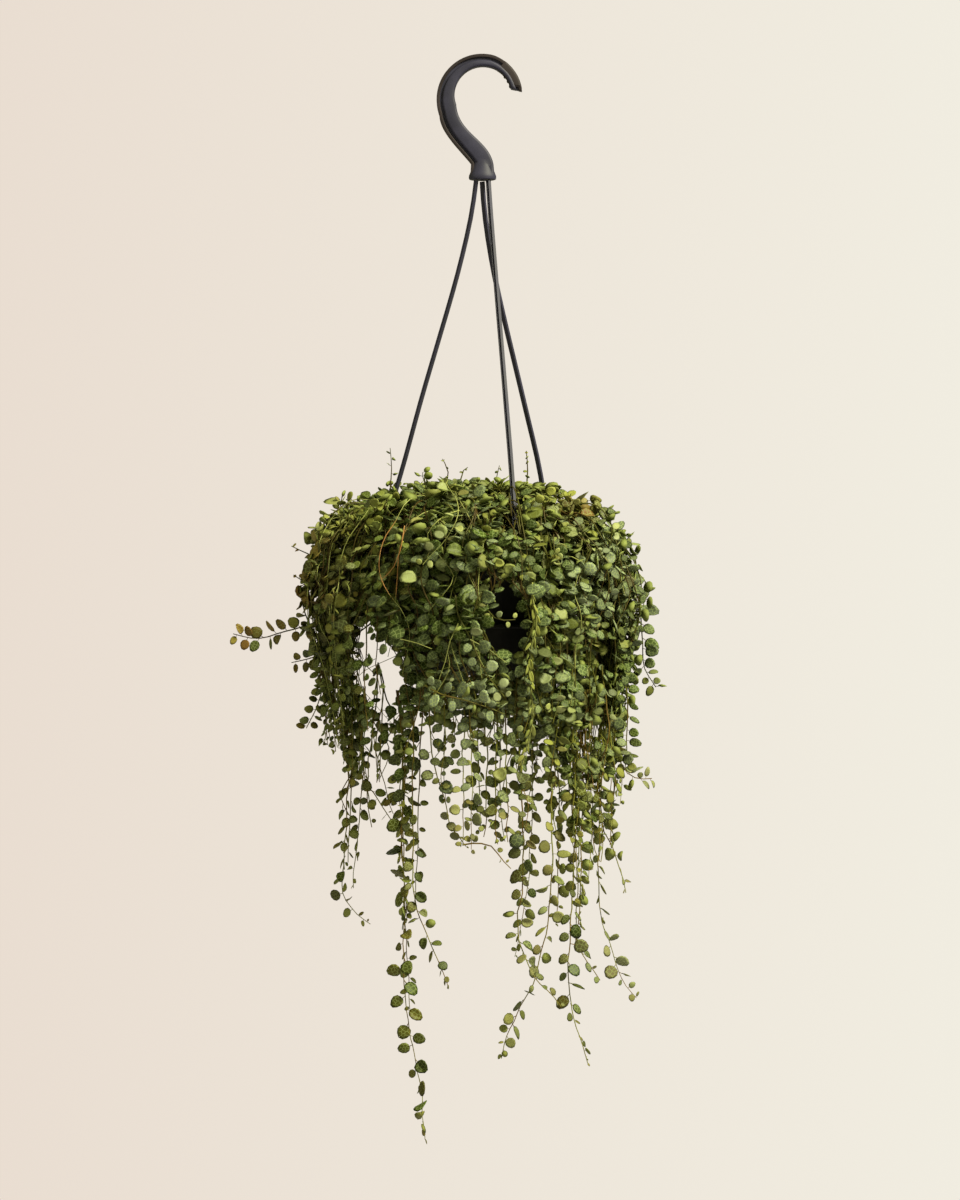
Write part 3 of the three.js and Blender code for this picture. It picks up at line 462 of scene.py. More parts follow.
# Stems in front of the rest: route, leaf radius or 0 for a bare stem, youth, silver
FEATURES = {
    9: [
        ([(-.112, -.010, -.358), (-.128, -.012, -.350), (-.137, -.013, -.345)], 0.0030, 0.3, 0.0),
        ([(-.112, -.005, -.378), (-.128, -.006, -.370), (-.135, -.007, -.366)], 0.0028, 0.3, 0.0),
        ([(-.080, -.088, -.385), (-.0815, -.089, -.420), (-.081, -.088, -.455), (-.079, -.086, -.475)],
         0.0042, 0.0, 0.0),
    ],
    10: [
        ([(-.054, -.112, -.333), (-.056, -.117, -.342), (-.057, -.117, -.352), (-.062, -.113, -.362),
          (-.070, -.110, -.371)], 0, 0.6, 0.0),
        ([(-.073, -.090, -.395), (-.074, -.092, -.425), (-.072, -.090, -.450)], 0.0045, 0.1, 0.0),
        ([(-.026, -.080, -.302), (-.017, -.105, -.322), (-.023, -.116, -.339), (-.041, -.114, -.360)],
         0.0046, 0.6, 0.3),
        ([(-.057, -.106, -.411), (-.046, -.113, -.414), (-.036, -.117, -.418)], 0, 0.6, 0.0),
    ],
    11: [
        ([(-.026, -.086, -.447), (-.0275, -.087, -.490), (-.030, -.086, -.515)], 0.0042, 0.1, 0.0),
    ],
    12: [
        ([(-.0125, -.090, -.447), (-.014, -.091, -.500), (-.0135, -.090, -.553)], 0.0036, 0.3, 0.0),
        ([(.001, -.088, -.447), (.0025, -.090, -.510), (.0010, -.089, -.548)], 0.0036, 0.3, 0.0),
        ([(.016, -.090, -.447), (.0155, -.092, -.505), (.0175, -.091, -.551)], 0.0042, 0.4, 0.0),
        ([(-.0139, -.086, -.554), (-.0045, -.086, -.553), (.0083, -.086, -.555), (.013, -.086, -.562),
          (.020, -.086, -.570)], 0.0026, 0.4, 0.0),
        ([(-.019, -.117, -.381), (-.0145, -.120, -.397), (-.0075, -.121, -.411), (-.002, -.120, -.426),
          (.006, -.118, -.439), (.015, -.114, -.451)], 0.0050, 0.0, 0.9),
        ([(-.017, -.122, -.400), (-.024, -.122, -.420), (-.031, -.119, -.439)], 0, 0.6, 0.0),
        ([(-.009, -.122, -.411), (.003, -.122, -.419), (.015, -.119, -.426)], 0, 0.6, 0.0),
        ([(-.040, -.106, -.443), (-.028, -.112, -.449), (-.015, -.114, -.452), (0, -.114, -.457),
          (.015, -.112, -.461)], 0.0052, 0.0, 0.9),
    ],
    1: [
        ([(.003, -.112, -.391), (.010, -.116, -.397), (.021, -.115, -.397)], 0.0036, 0.3, 0.3),
    ],
    3: [
        ([(.0915, .000, -.440), (.0945, .000, -.490), (.0925, .002, -.560)], 0.0048, 0.1, 0.3),
        ([(.0890, -.020, -.440), (.0900, -.018, -.500), (.0930, -.016, -.545)], 0.0046, 0.1, 0.3),
    ],
}

# Upright shoots on the crown, from the mass to the tip
SHOOTS = [
    [(-.066, -.030, -.305), (-.065, -.031, -.290), (-.066, -.032, -.276)],
    [(-.027, -.012, -.306), (-.025, -.013, -.292), (-.029, -.013, -.283)],
    [(-.018, .010, -.306), (-.015, .010, -.292), (-.011, .012, -.288)],
    [(.031, -.010, -.306), (.032, -.010, -.290), (.031, -.010, -.277)],
    [(.008, .024, -.306), (.010, .026, -.294), (.012, .027, -.286)],
]


class LeafSettings(PropertyGroup):
    """Sizes and colours of the leaves"""

    radius: FloatProperty(
        name="Leaf Radius", description="Half the width of a grown leaf", default=0.0052, unit="LENGTH")
    spacing: FloatProperty(
        name="Leaf Spacing", description="Distance along a stem from leaf to leaf", default=0.0064,
        unit="LENGTH")
    # The grown, young, bronze and silver colours also carry painted light and shade: the glow through the low
    # leaves, the shade on the left and the highlight on the right
    old_color: FloatVectorProperty(
        name="Grown Leaf", description="Blade of a grown leaf between its veins", subtype="COLOR", size=4,
        default=(0.032, 0.051, 0.005, 1.0))
    vein_color: FloatVectorProperty(
        name="Veins", description="Pale net of veins on a grown leaf", subtype="COLOR", size=4,
        default=(0.225, 0.275, 0.100, 1.0))
    young_color: FloatVectorProperty(
        name="Young Leaf", description="Blade of a young leaf", subtype="COLOR", size=4,
        default=(0.174, 0.188, 0.038, 1.0))
    bronze_color: FloatVectorProperty(
        name="Bronze Leaf", description="Blade of a leaf that has stood in strong light", subtype="COLOR",
        size=4, default=(0.14, 0.075, 0.016, 1.0))
    silver_color: FloatVectorProperty(
        name="Silver Leaf", description="Blue-grey bloom on the palest grown leaves", subtype="COLOR",
        size=4, default=(0.178, 0.205, 0.145, 1.0))
    back_color: FloatVectorProperty(
        name="Leaf Back", description="Underside of the leaves", subtype="COLOR", size=4,
        default=(0.15, 0.175, 0.045, 1.0))


class StemSettings(PropertyGroup):
    """Number, thickness and colours of the stems"""

    draped: IntProperty(
        name="Draped Stems", description="Stems that lie over the mass, for each bunch", default=29)
    companions: IntProperty(
        name="Companion Stems", description="Shorter stems that hang along each trail", default=2)
    hanging: IntProperty(
        name="Hanging Stems", description="Extra stems that hang below the hem, for each bunch", default=8)
    tufts: IntProperty(
        name="Tufts", description="Short stems that stand up out of the top, for each bunch", default=4)
    under_top: IntProperty(
        name="Under Stems", description="Short stems just under the top, for each bunch", default=5)
    crown: IntProperty(name="Crown Stems", description="Stems on the middle of the top", default=74)
    radius: FloatProperty(
        name="Stem Radius", description="Half the thickness of a grown stem", default=0.0006, unit="LENGTH")
    green_color: FloatVectorProperty(
        name="Green Stem", description="Colour of young stems", subtype="COLOR", size=4,
        default=(0.17, 0.185, 0.025, 1.0))
    red_color: FloatVectorProperty(
        name="Red Stem", description="Colour of old stems", subtype="COLOR", size=4,
        default=(0.13, 0.065, 0.014, 1.0))
    light_color: FloatVectorProperty(
        name="Light Stem", description="Colour of the newest stems, which lie over the rest", subtype="COLOR",
        size=4, default=(0.27, 0.29, 0.085, 1.0))
    flushed_color: FloatVectorProperty(
        name="Flushed Stem", description="Colour of bare new stems on the left", subtype="COLOR", size=4,
        default=(0.27, 0.13, 0.04, 1.0))
    # Painted shade: the share of colour that stems keep where the mass would shade them
    shade: FloatProperty(
        name="Shade in the Mass", description="Share of their colour that stems keep in the mass",
        default=0.35)


class PlasticSettings(PropertyGroup):
    """Colours of the hanger, pot and soil"""

    hanger_color: FloatVectorProperty(
        name="Hanger", description="Plastic of the hook and arms", subtype="COLOR", size=4,
        default=(0.0135, 0.0130, 0.0275, 1.0))
    rim_color: FloatVectorProperty(
        name="Hanger Rim", description="Rubbed plastic of the hook's rim", subtype="COLOR", size=4,
        default=(0.0145, 0.0110, 0.0125, 1.0))
    hanger_gloss: FloatProperty(
        name="Hanger Gloss", description="How strongly the hanger's plastic mirrors the lamps", default=0.3)
    rim_gloss: FloatProperty(
        name="Rim Gloss", description="How strongly the hook's rubbed rim mirrors the lamps", default=0.15)
    # Partly the pot's black plastic, partly painted shade: darker than such plastic is, for the shade under
    # the foliage
    shaded_pot_color: FloatVectorProperty(
        name="Pot", description="Plastic of the pot and saucer", subtype="COLOR", size=4,
        default=(0.004, 0.004, 0.003, 1.0))
    soil_color: FloatVectorProperty(
        name="Soil", description="Damp peat mix", subtype="COLOR", size=4,
        default=(0.022, 0.014, 0.009, 1.0))
    dust_color: FloatVectorProperty(
        name="Dust", description="Dust on the pot's plastic", subtype="COLOR", size=4,
        default=(0.022, 0.020, 0.016, 1.0))
    fibre_color: FloatVectorProperty(
        name="Fibres", description="Pale dry fibres in the soil", subtype="COLOR", size=4,
        default=(0.09, 0.06, 0.038, 1.0))


class StageSettings(PropertyGroup):
    """Camera, lights and surroundings"""

    camera_distance: FloatProperty(
        name="Camera Distance", description="From the camera to the middle of the plant",
        default=VIEW_DISTANCE, unit="LENGTH")
    view_height: FloatProperty(
        name="View Height", description="Height that the picture covers at the plant", default=0.864,
        unit="LENGTH")
    room_left: FloatVectorProperty(
        name="Room Left", description="Colour of the room on the left", subtype="COLOR", size=4,
        default=(0.815, 0.722, 0.635, 1.0))
    room_right: FloatVectorProperty(
        name="Room Right", description="Colour of the room on the right", subtype="COLOR", size=4,
        default=(0.879, 0.847, 0.753, 1.0))
    room_tint: FloatVectorProperty(
        name="Room Tint", description="Tint of the room's light on the plant", subtype="COLOR", size=4,
        default=(1.0, 0.97, 0.40, 1.0))
    room_light: FloatProperty(
        name="Room Light", description="Share of the room's brightness that falls on the plant", default=0.36)
    floor_color: FloatVectorProperty(
        name="Floor", description="Plain pale floor far below the plant", subtype="COLOR", size=4,
        default=(0.57, 0.54, 0.72, 1.0))
    key_power: FloatProperty(
        name="Key Power", description="Power of the lamp at the upper right", default=305.0, unit="POWER")
    key_color: FloatVectorProperty(
        name="Key Colour", description="Colour of the lamp at the upper right", subtype="COLOR",
        default=(1.0, 0.965, 0.70))
    fill_power: FloatProperty(
        name="Fill Power", description="Power of the large lamp at the left", default=24.0, unit="POWER")
    fill_color: FloatVectorProperty(
        name="Fill Colour", description="Colour of the large lamp at the left", subtype="COLOR",
        default=(1.0, 0.95, 0.75))


# Selection and finishing


def deselect_all():
    if bpy.context.mode != "OBJECT":
        bpy.ops.object.mode_set(mode="OBJECT")
    bpy.ops.object.select_all(action="DESELECT")


def select_only(*pieces):
    deselect_all()
    for piece in pieces:
        piece.select_set(True)
    bpy.context.view_layer.objects.active = pieces[0]


def select_vertices(wanted):
    """Selects the vertices of the mesh in edit mode whose place passes a test"""
    mesh = bmesh.from_edit_mesh(bpy.context.object.data)
    for vertex in mesh.verts:
        vertex.select = wanted(vertex.co)
    mesh.select_flush(True)
    mesh.select_flush(False)
    bmesh.update_edit_mesh(bpy.context.object.data)


def finish_piece(piece, name, node):
    """Names a piece, attaches it to the root body and hides the frame's node that it stands for"""
    piece.name = name
    piece.data.name = name
    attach(piece, "root")
    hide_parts(node)


# Node trees


class Nodes:
    """A node tree, with short calls to add and link its nodes"""

    def __init__(self, tree):
        self.tree = tree

    def add(self, kind, inputs=None, **options):
        node = self.tree.nodes.new(kind)
        for option, value in options.items():
            setattr(node, option, value)
        for socket, value in (inputs or {}).items():
            self.feed(value, node.inputs[socket])
        return node

    def feed(self, value, socket):
        if isinstance(value, bpy.types.NodeSocket):
            self.tree.links.new(value, socket)
        else:
            socket.default_value = value

    def math(self, operation, *values, clamp=False):
        node = self.add("ShaderNodeMath", operation=operation, use_clamp=clamp)
        for value, socket in zip(values, node.inputs):
            self.feed(value, socket)
        return node.outputs[0]

    def mix(self, factor, first, second):
        node = self.add("ShaderNodeMix", data_type="RGBA")
        self.feed(factor, node.inputs["Factor"])
        self.feed(first, node.inputs[6])
        self.feed(second, node.inputs[7])
        return node.outputs[2]

    def ramp(self, value, low, high, first=0.0, last=1.0):
        """Runs from the first number at the low value to the last one at the high value"""
        node = self.add("ShaderNodeMapRange", {
            "Value": value, "From Min": low, "From Max": high, "To Min": first, "To Max": last})
        return node.outputs["Result"]


class Finish(Nodes):
    """A new material and its node tree"""

    def __init__(self, name):
        self.material = bpy.data.materials.new(name)
        self.material.use_nodes = True
        super().__init__(self.material.node_tree)
        self.shader = self.tree.nodes["Principled BSDF"]

    def set(self, **values):
        for socket, value in values.items():
            self.feed(value, self.shader.inputs[socket.replace("_", " ")])

    def place(self):
        return self.add("ShaderNodeTexCoord").outputs["Object"]

    def noise(self, scale, detail=3.0, roughness=0.5):
        node = self.add("ShaderNodeTexNoise", {
            "Vector": self.place(), "Scale": scale, "Detail": detail, "Roughness": roughness})
        return node.outputs["Fac"]

    def brightened(self, color, value):
        return self.add("ShaderNodeHueSaturation", {"Value": value, "Color": color}).outputs["Color"]

    def bump(self, height, strength, distance):
        node = self.add("ShaderNodeBump", {"Height": height, "Strength": strength, "Distance": distance})
        self.feed(node.outputs["Normal"], self.shader.inputs["Normal"])


def toned(color, share):
    """A colour made darker, or lighter by a share over 1"""
    return [share * part for part in color[:3]] + [1.0]


def leaf_look(nodes):
    """Age, bronzing, chance and silver of a leaf, from the attribute on its piece; all but the chance also
    carry painted light and shade
    """
    look = nodes.add("ShaderNodeAttribute", attribute_name="look")
    split = nodes.add("ShaderNodeSeparateColor", {"Color": look.outputs["Color"]})
    return [*split.outputs, look.outputs["Alpha"]]


def leaf_net(nodes, chance):
    """The plates between a leaf's veins, in another place on each leaf"""
    blade = nodes.add("ShaderNodeUVMap", uv_map="blade").outputs["UV"]
    x, y = (nodes.math("MULTIPLY", chance, part) for part in NET_SHIFT)
    shift = nodes.add("ShaderNodeCombineXYZ", {"X": x, "Y": y})
    moved = nodes.add("ShaderNodeVectorMath", {0: blade, 1: shift.outputs[0]}, operation="ADD")
    net = nodes.add("ShaderNodeTexVoronoi", {
        "Vector": moved.outputs[0], "Scale": NET_SCALE, "Randomness": NET_RAGGED},
        feature="DISTANCE_TO_EDGE", voronoi_dimensions="2D")
    return nodes.ramp(net.outputs["Distance"], *VEIN_EDGES)


def leaf_top_material(leaf):
    """Fleshy blade with a pale net of veins like a turtle's shell"""
    nodes = Finish("leaf top")
    age_and_painted_light, bronze_and_painted_light, chance, silver = leaf_look(nodes)
    plates = leaf_net(nodes, chance)
    veins = nodes.math("SUBTRACT", 1.0, plates)
    net_strength = nodes.math("MULTIPLY_ADD", silver, 0.45, 0.55)
    strength = nodes.math("MULTIPLY", nodes.ramp(age_and_painted_light, 0.25, 0.75), net_strength)
    old = nodes.mix(nodes.noise(scale=38.0, detail=2.0), leaf.old_color, toned(leaf.old_color, 0.75))
    # Younger, bronzed and silvered leaves are paler; these masks also carry painted light and shade set from
    # where each leaf stands
    grown = nodes.mix(nodes.ramp(age_and_painted_light, 0.15, 0.7), leaf.young_color, old)
    washed = nodes.mix(nodes.math("MULTIPLY", silver, 0.55), grown, leaf.silver_color)
    tinted = nodes.mix(bronze_and_painted_light, washed, leaf.bronze_color)
    veined = nodes.mix(nodes.math("MULTIPLY", veins, strength), tinted, leaf.vein_color)
    varied = nodes.brightened(veined, nodes.ramp(chance, 0.0, 1.0, first=0.6, last=1.4))
    rough = nodes.ramp(plates, 0.0, 1.0, first=0.6, last=0.46)
    nodes.set(Base_Color=varied, Roughness=rough, IOR=1.4, Specular_IOR_Level=0.16)
    nodes.bump(plates, strength=0.3, distance=0.0004)
    return nodes.material


def leaf_back_material(leaf):
    """Pale, duller underside, flushed red on some leaves"""
    nodes = Finish("leaf back")
    age_and_painted_light, bronze_and_painted_light, _, _ = leaf_look(nodes)
    # These masks also carry painted light and shade set from where each leaf stands
    pale = nodes.mix(age_and_painted_light, toned(leaf.back_color, 1.25), leaf.back_color)
    flushed = nodes.mix(nodes.math("MULTIPLY", bronze_and_painted_light, 0.8), pale, leaf.bronze_color)
    grain = nodes.noise(scale=900.0, detail=2.0)
    mottled = nodes.mix(nodes.math("MULTIPLY", grain, 0.35), flushed, leaf.old_color)
    nodes.set(Base_Color=mottled, Roughness=0.62, IOR=1.4, Specular_IOR_Level=0.2)
    nodes.bump(grain, strength=0.15, distance=0.0003)
    return nodes.material


def stem_material(stem):
    """Thin fleshy stem, green where young and red-brown where old, with painted shade that darkens it in the
    mass
    """
    nodes = Finish("stem")
    height = nodes.add("ShaderNodeSeparateXYZ", {0: nodes.place()}).outputs["Z"]
    patch = nodes.ramp(nodes.noise(scale=26.0, detail=2.0), 0.42, 0.6)
    color = nodes.mix(nodes.math("MULTIPLY", patch, 0.8), stem.green_color, stem.red_color)
    grain = nodes.noise(scale=700.0)
    streaked = nodes.mix(nodes.math("MULTIPLY", grain, 0.5), color, toned(stem.red_color, 0.5))
    # Painted shade: above the hem the stem keeps only a share of its colour
    light = nodes.ramp(height, *STEM_SHADE_ENDS, first=stem.shade)
    nodes.set(Base_Color=nodes.brightened(streaked, light), Roughness=0.5, IOR=1.4,
              Specular_IOR_Level=0.25)
    nodes.bump(grain, strength=0.3, distance=0.0002)
    return nodes.material


def light_stem_material(stem):
    """Smooth yellow-green stem of the newest growth, flushed red in two zones"""
    nodes = Finish("light stem")
    place = nodes.add("ShaderNodeSeparateXYZ", {0: nodes.place()})
    flush = 0.0
    for zone in FLUSH_ZONES:
        share = 1.0
        for axis, edge, inside in zone:
            share = nodes.math("MULTIPLY", share, nodes.ramp(place.outputs[axis], edge, inside))
        flush = nodes.math("ADD", flush, share, clamp=True)
    patch = nodes.ramp(nodes.noise(scale=60.0, detail=2.0), 0.4, 0.65)
    light = nodes.mix(patch, stem.light_color, toned(stem.light_color, 0.55))
    nodes.set(Base_Color=nodes.mix(flush, light, stem.flushed_color), Roughness=0.5, IOR=1.4,
              Specular_IOR_Level=0.25)
    nodes.bump(nodes.noise(scale=700.0), strength=0.3, distance=0.0002)
    return nodes.material


def hanger_material(name, color, gloss):
    """Dark moulded plastic with faint flow lines and dull patches, and a painted highlight along its sharp
    edges
    """
    nodes = Finish(name)
    cloud = nodes.noise(scale=55.0, detail=4.0)
    base = nodes.mix(nodes.ramp(cloud, 0.35, 0.75), color, toned(color, 1.8))
    # Painted highlight: sharp edges are mixed towards a lighter colour, as if they caught the lamps
    edge_highlight = nodes.ramp(nodes.add("ShaderNodeNewGeometry").outputs["Pointiness"], 0.53, 0.62)
    highlighted = nodes.mix(nodes.math("MULTIPLY", edge_highlight, 0.25), base, toned(color, 2.2))
    rough = nodes.ramp(cloud, 0.0, 1.0, first=0.48, last=0.66)
    nodes.set(Base_Color=highlighted, Roughness=rough, IOR=1.45, Specular_IOR_Level=gloss)
    nodes.bump(nodes.noise(scale=1600.0, detail=2.0), strength=0.12, distance=0.0002)
    return nodes.material


def pot_material(plastic):
    """Black nursery plastic, dusty in patches, painted darker than such plastic is for the shade under the
    foliage
    """
    nodes = Finish("pot plastic")
    cloud = nodes.noise(scale=35.0, detail=5.0, roughness=0.6)
    dust = nodes.math("MULTIPLY", nodes.ramp(cloud, 0.45, 0.75), 0.5)
    dusty = nodes.mix(dust, plastic.shaded_pot_color, plastic.dust_color)
    nodes.set(Base_Color=dusty, Roughness=0.6, IOR=1.48, Specular_IOR_Level=0.25)
    nodes.bump(nodes.noise(scale=1200.0, detail=2.0), strength=0.15, distance=0.0002)
    return nodes.material


def soil_material(plastic):
    """Damp crumbly peat with paler fibres"""
    nodes = Finish("potting soil")
    fibre = nodes.ramp(nodes.noise(scale=620.0), 0.6, 0.75)
    nodes.set(Base_Color=nodes.mix(fibre, plastic.soil_color, plastic.fibre_color), Roughness=0.95)
    nodes.bump(nodes.noise(scale=260.0, detail=6.0, roughness=0.7), strength=0.9, distance=0.002)
    return nodes.material


# The form of the mass


def at_azimuth(azimuth, radius, height=0.0):
    angle = math.radians(azimuth)
    return Vector((radius * math.sin(angle), -radius * math.cos(angle), height))


def azimuth_of(place):
    return math.degrees(math.atan2(place[0], -place[1]))


def turn_between(azimuth, middle):
    return (azimuth - middle + 180) % 360 - 180


def rise(value, start, reach):
    """Runs from 0 at the start to 1 a reach further on"""
    return min(1.0, max(0.0, (value - start) / reach))


def swell(azimuth, height):
    """How far the mass stands out at a place, as a share of its outline"""
    angle = math.radians(azimuth)
    millimetres = 1000 * height
    tufts = sum(size * math.sin(turns * angle + phase + millimetres / pitch)
                for size, turns, phase, pitch in SWELL_WAVES)
    lean = RIGHT_LEAN if math.sin(angle) > 0 else LEFT_LEAN
    return 1 - lean * math.sin(angle) + tufts


def hem_drape(azimuth):
    """How much deeper the hem hangs at an azimuth than round the rest of the pot"""
    return sum(depth * math.exp(-(turn_between(azimuth, middle) / reach) ** 2)
               for middle, reach, depth in HEM_DRAPES)


def mass_point(azimuth, radius, height):
    """A point of the outline, swollen and draped at its azimuth"""
    share = rise(radius, CROWN_RADIUS, CROWN_RADIUS)
    grown = radius * (1 + (swell(azimuth, height) - 1) * share)
    over_top = rise(height, SHOULDER_SIDE, SHOULDER_TOP - SHOULDER_SIDE)
    height -= RIGHT_FALL * share * over_top * max(0.0, math.sin(math.radians(azimuth)))
    if height < HEM_FROM:
        wave = HEM_WAVE * math.sin(math.radians(HEM_WAVES_ROUND * azimuth))
        height = HEM_FROM + (height - HEM_FROM) * (HEM_DEPTH + hem_drape(azimuth) + wave)
    return at_azimuth(azimuth, grown, height)


def outline_at(length):
    """The outline's radius and height at a distance over the mass from its middle"""
    left = max(0.0, length)
    for (r0, z0), (r1, z1) in zip(OUTLINE, OUTLINE[1:]):
        span = math.dist((r0, z0), (r1, z1))
        if left <= span:
            share = left / span
            return r0 + (r1 - r0) * share, z0 + (z1 - z0) * share
        left -= span
    return OUTLINE[-1]


def outward_at(place):
    """Up on the top of the mass, level on its sides"""
    level = at_azimuth(azimuth_of(place), 1.0)
    over_top = rise(place[2], SHOULDER_SIDE, SHOULDER_TOP - SHOULDER_SIDE)
    return (level * (1 - over_top) + UP * over_top).normalized()


def arm_radius(height):
    """Distance of the front arm from the middle, at a height"""
    for (r0, z0), (r1, z1) in zip(ARM_ROUTE, ARM_ROUTE[1:]):
        if z0 >= height >= z1:
            return r0 + (r1 - r0) * (z0 - height) / (z0 - z1)
    return ARM_ROUTE[-1][0]


def window_share(place, window):
    """Under 1 inside a window, seen by the camera of the front view"""
    x, z, half_width, half_height = window
    nearness = (VIEW_DISTANCE + FRONT_PLANE) / (VIEW_DISTANCE + place[1])
    across = VIEW_MIDDLE[0] + (place[0] - VIEW_MIDDLE[0]) * nearness
    height = VIEW_MIDDLE[2] + (place[2] - VIEW_MIDDLE[2]) * nearness
    return ((across - x) / half_width) ** 2 + ((height - z) / half_height) ** 2


def is_open(place, rng):
    """Whether a place stays free of leaves; the edges of the windows are ragged"""
    limit = rng.uniform(*WINDOW_EDGE)
    if any(window_share(place, window) < limit for window in LEFT_WINDOWS + HEM_WINDOWS):
        return True
    if place[1] < POT_WINDOW_BACK and window_share(place, POT_WINDOW) < limit:
        return True
    across = Vector((place[0] * GAP_SCALE[0], 0, place[2] * GAP_SCALE[1]))
    if place[2] < GAP_FROM and noise.noise(across) > GAP_LEVEL:
        return True
    if place[1] > 0 or place[2] < ARM_GROOVE_LOWEST:
        return False
    arm = at_azimuth(FRONT_ARM_AZIMUTH, arm_radius(place[2]))
    return abs(place[0] - arm.x) < ARM_GROOVE and place[1] < arm.y + ARM_GROOVE


def part_stem(points, rng):
    """Ends a stem at a window, or moves it past the side that most of it passes on"""
    for window in [POT_WINDOW, *LEFT_WINDOWS]:
        back = POT_WINDOW_BACK if window is POT_WINDOW else math.inf
        inside = [i for i, point in enumerate(points) if point.y < back and window_share(point, window) < 1]
        if not inside:
            continue
        if inside[0] > SHORTEST_STEM and rng.random() < WINDOW_ENDS:
            return points[:inside[0]]
        x, z, half_width, half_height = window
        side = 1 if sum(points[i].x - x for i in inside) > 0 else -1
        clearance = side * half_width * rng.uniform(*WINDOW_CLEARANCE)
        for i in inside:
            height = (points[i].z - z) / half_height
            points[i].x = x + clearance * math.sqrt(max(0.0, 1 - height ** 2))
    return points


# Paths of the stems


def smooth_path(points):
    """A curve through the points, with even steps"""
    knots = np.array(points, dtype=float)
    padded = np.vstack([2 * knots[0] - knots[1], knots, 2 * knots[-1] - knots[-2]])
    share = np.linspace(0, 1, CURVE_STEPS, endpoint=False)[:, None]
    parts = []
    for a, b, c, d in zip(padded, padded[1:], padded[2:], padded[3:]):
        parts.append(0.5 * (2 * b + (c - a) * share + (2 * a - 5 * b + 4 * c - d) * share ** 2
                            + (3 * b - a - 3 * c + d) * share ** 3))
    fine = np.vstack(parts + [knots[-1:]])
    runs = np.concatenate([[0], np.cumsum(np.linalg.norm(np.diff(fine, axis=0), axis=1))])
    places = np.linspace(0, runs[-1], max(3, int(runs[-1] / PATH_STEP)))
    return np.column_stack([np.interp(places, runs, fine[:, k]) for k in range(3)])


def draped_path(rng, azimuth, start, reach, depth):
    """A stem that comes up through the top and lies over the mass"""
    turn = rng.uniform(-DRAPE_TURN, DRAPE_TURN)
    waves = [(rng.uniform(*DRAPE_SWAYS), rng.uniform(0, math.tau), rng.uniform(*DRAPE_SWAY))
             for _ in range(2)]
    count = max(5, int((reach - start) / DRAPE_STEP))
    points = []
    for i in range(count + 1):
        share = i / count
        radius, height = outline_at(start + (reach - start) * share)
        sway = sum(size * math.sin(math.tau * turns * share + phase) for turns, phase, size in waves)
        place = mass_point(azimuth + turn * share + sway, radius, height)
        lift = depth - DRAPE_ROOT_DEPTH * max(0.0, 1 - share / DRAPE_ROOT_SHARE)
        lift += DRAPE_RISE * math.sin(math.tau * waves[0][0] * share + waves[1][1])
        points.append(place + outward_at(place) * lift)
    return smooth_path(part_stem(points, rng))


def hanging_path(rng, azimuth, radius, top, bottom):
    """A stem that hangs free below the hem, with a few slow bends"""
    count = max(3, int((top - bottom) / HANG_STEP))
    waves = [(rng.uniform(*HANG_BENDS), rng.uniform(0, math.tau), rng.uniform(*HANG_BEND))
             for _ in range(2)]
    points = []
    for i in range(count + 1):
        share = i / count
        place = at_azimuth(azimuth, radius * (1 - HANG_DRAW_IN * share), top + (bottom - top) * share)
        for axis, (turns, phase, size) in enumerate(waves):
            place[axis] += size * (HANG_TOP_BEND + share) * math.sin(math.tau * turns * share + phase)
        points.append(place)
    return smooth_path(points)


def companion_path(rng, route):
    """A shorter stem that hangs close along a trail and winds round it"""
    path = smooth_path(route)
    kept = path[:max(4, int(len(path) * rng.uniform(*COMPANION_SHARE)))].copy()
    share = np.linspace(0, 1, len(kept))
    for axis in range(2):
        turns, phase = rng.uniform(*COMPANION_BENDS), rng.uniform(0, math.tau)
        kept[:, axis] += rng.uniform(*COMPANION_BEND) * np.sin(math.tau * turns * share + phase)
    return kept


def kinked(path, rng, size=KINK):
    """Lets a hanging stem bend a little at each of its leaves"""
    count = max(3, len(path) // 3)
    share = np.linspace(0, 1, len(path))
    for axis in range(3):
        shifts = [0.0] + [rng.uniform(-size, size) for _ in range(count - 1)]
        path[:, axis] += np.interp(share, np.linspace(0, 1, count), shifts)
    return path


def tuft_path(rng, azimuth):
    """A short stem that stands up out of the top of the mass"""
    radius, height = outline_at(rng.uniform(*TUFT_ROOTS))
    points = [mass_point(azimuth, radius, height) - UP * TUFT_SINK]
    heading = UP + at_azimuth(azimuth + rng.uniform(-TUFT_TURN, TUFT_TURN), rng.uniform(*TUFT_LEAN))
    for _ in range(TUFT_STEPS):
        heading += Vector([rng.gauss(0, bend) for bend in TUFT_BEND])
        points.append(points[-1] + heading.normalized() * rng.uniform(*TUFT_STEP))
    return smooth_path(points)


def crown_path(rng):
    """A short stem that comes up through the middle of the top and crosses it"""
    start = at_azimuth(rng.uniform(0, 360), rng.uniform(*CROWN_ROOTS))
    heading = rng.uniform(0, 360)
    points = []
    for i in range(CROWN_POINTS):
        place = start + at_azimuth(heading + CROWN_TURN * i * rng.uniform(-1, 1), CROWN_STEP * i)
        lift = CROWN_RISE * math.sin(CROWN_RISE_TURN * i) - CROWN_SINK
        place.z = outline_at(math.hypot(place.x, place.y))[1] + lift
        points.append(place)
    points[0].z -= CROWN_ROOT_DEPTH
    return smooth_path(points)


# Leaves


def shape_part(wanted, offset, widening=None):
    """Selects a part of the mesh in edit mode, widens it if a share is given, and moves it"""
    select_vertices(wanted)
    if widening:
        bpy.ops.transform.resize(value=(widening, widening, 1))
    bpy.ops.transform.translate(value=offset)


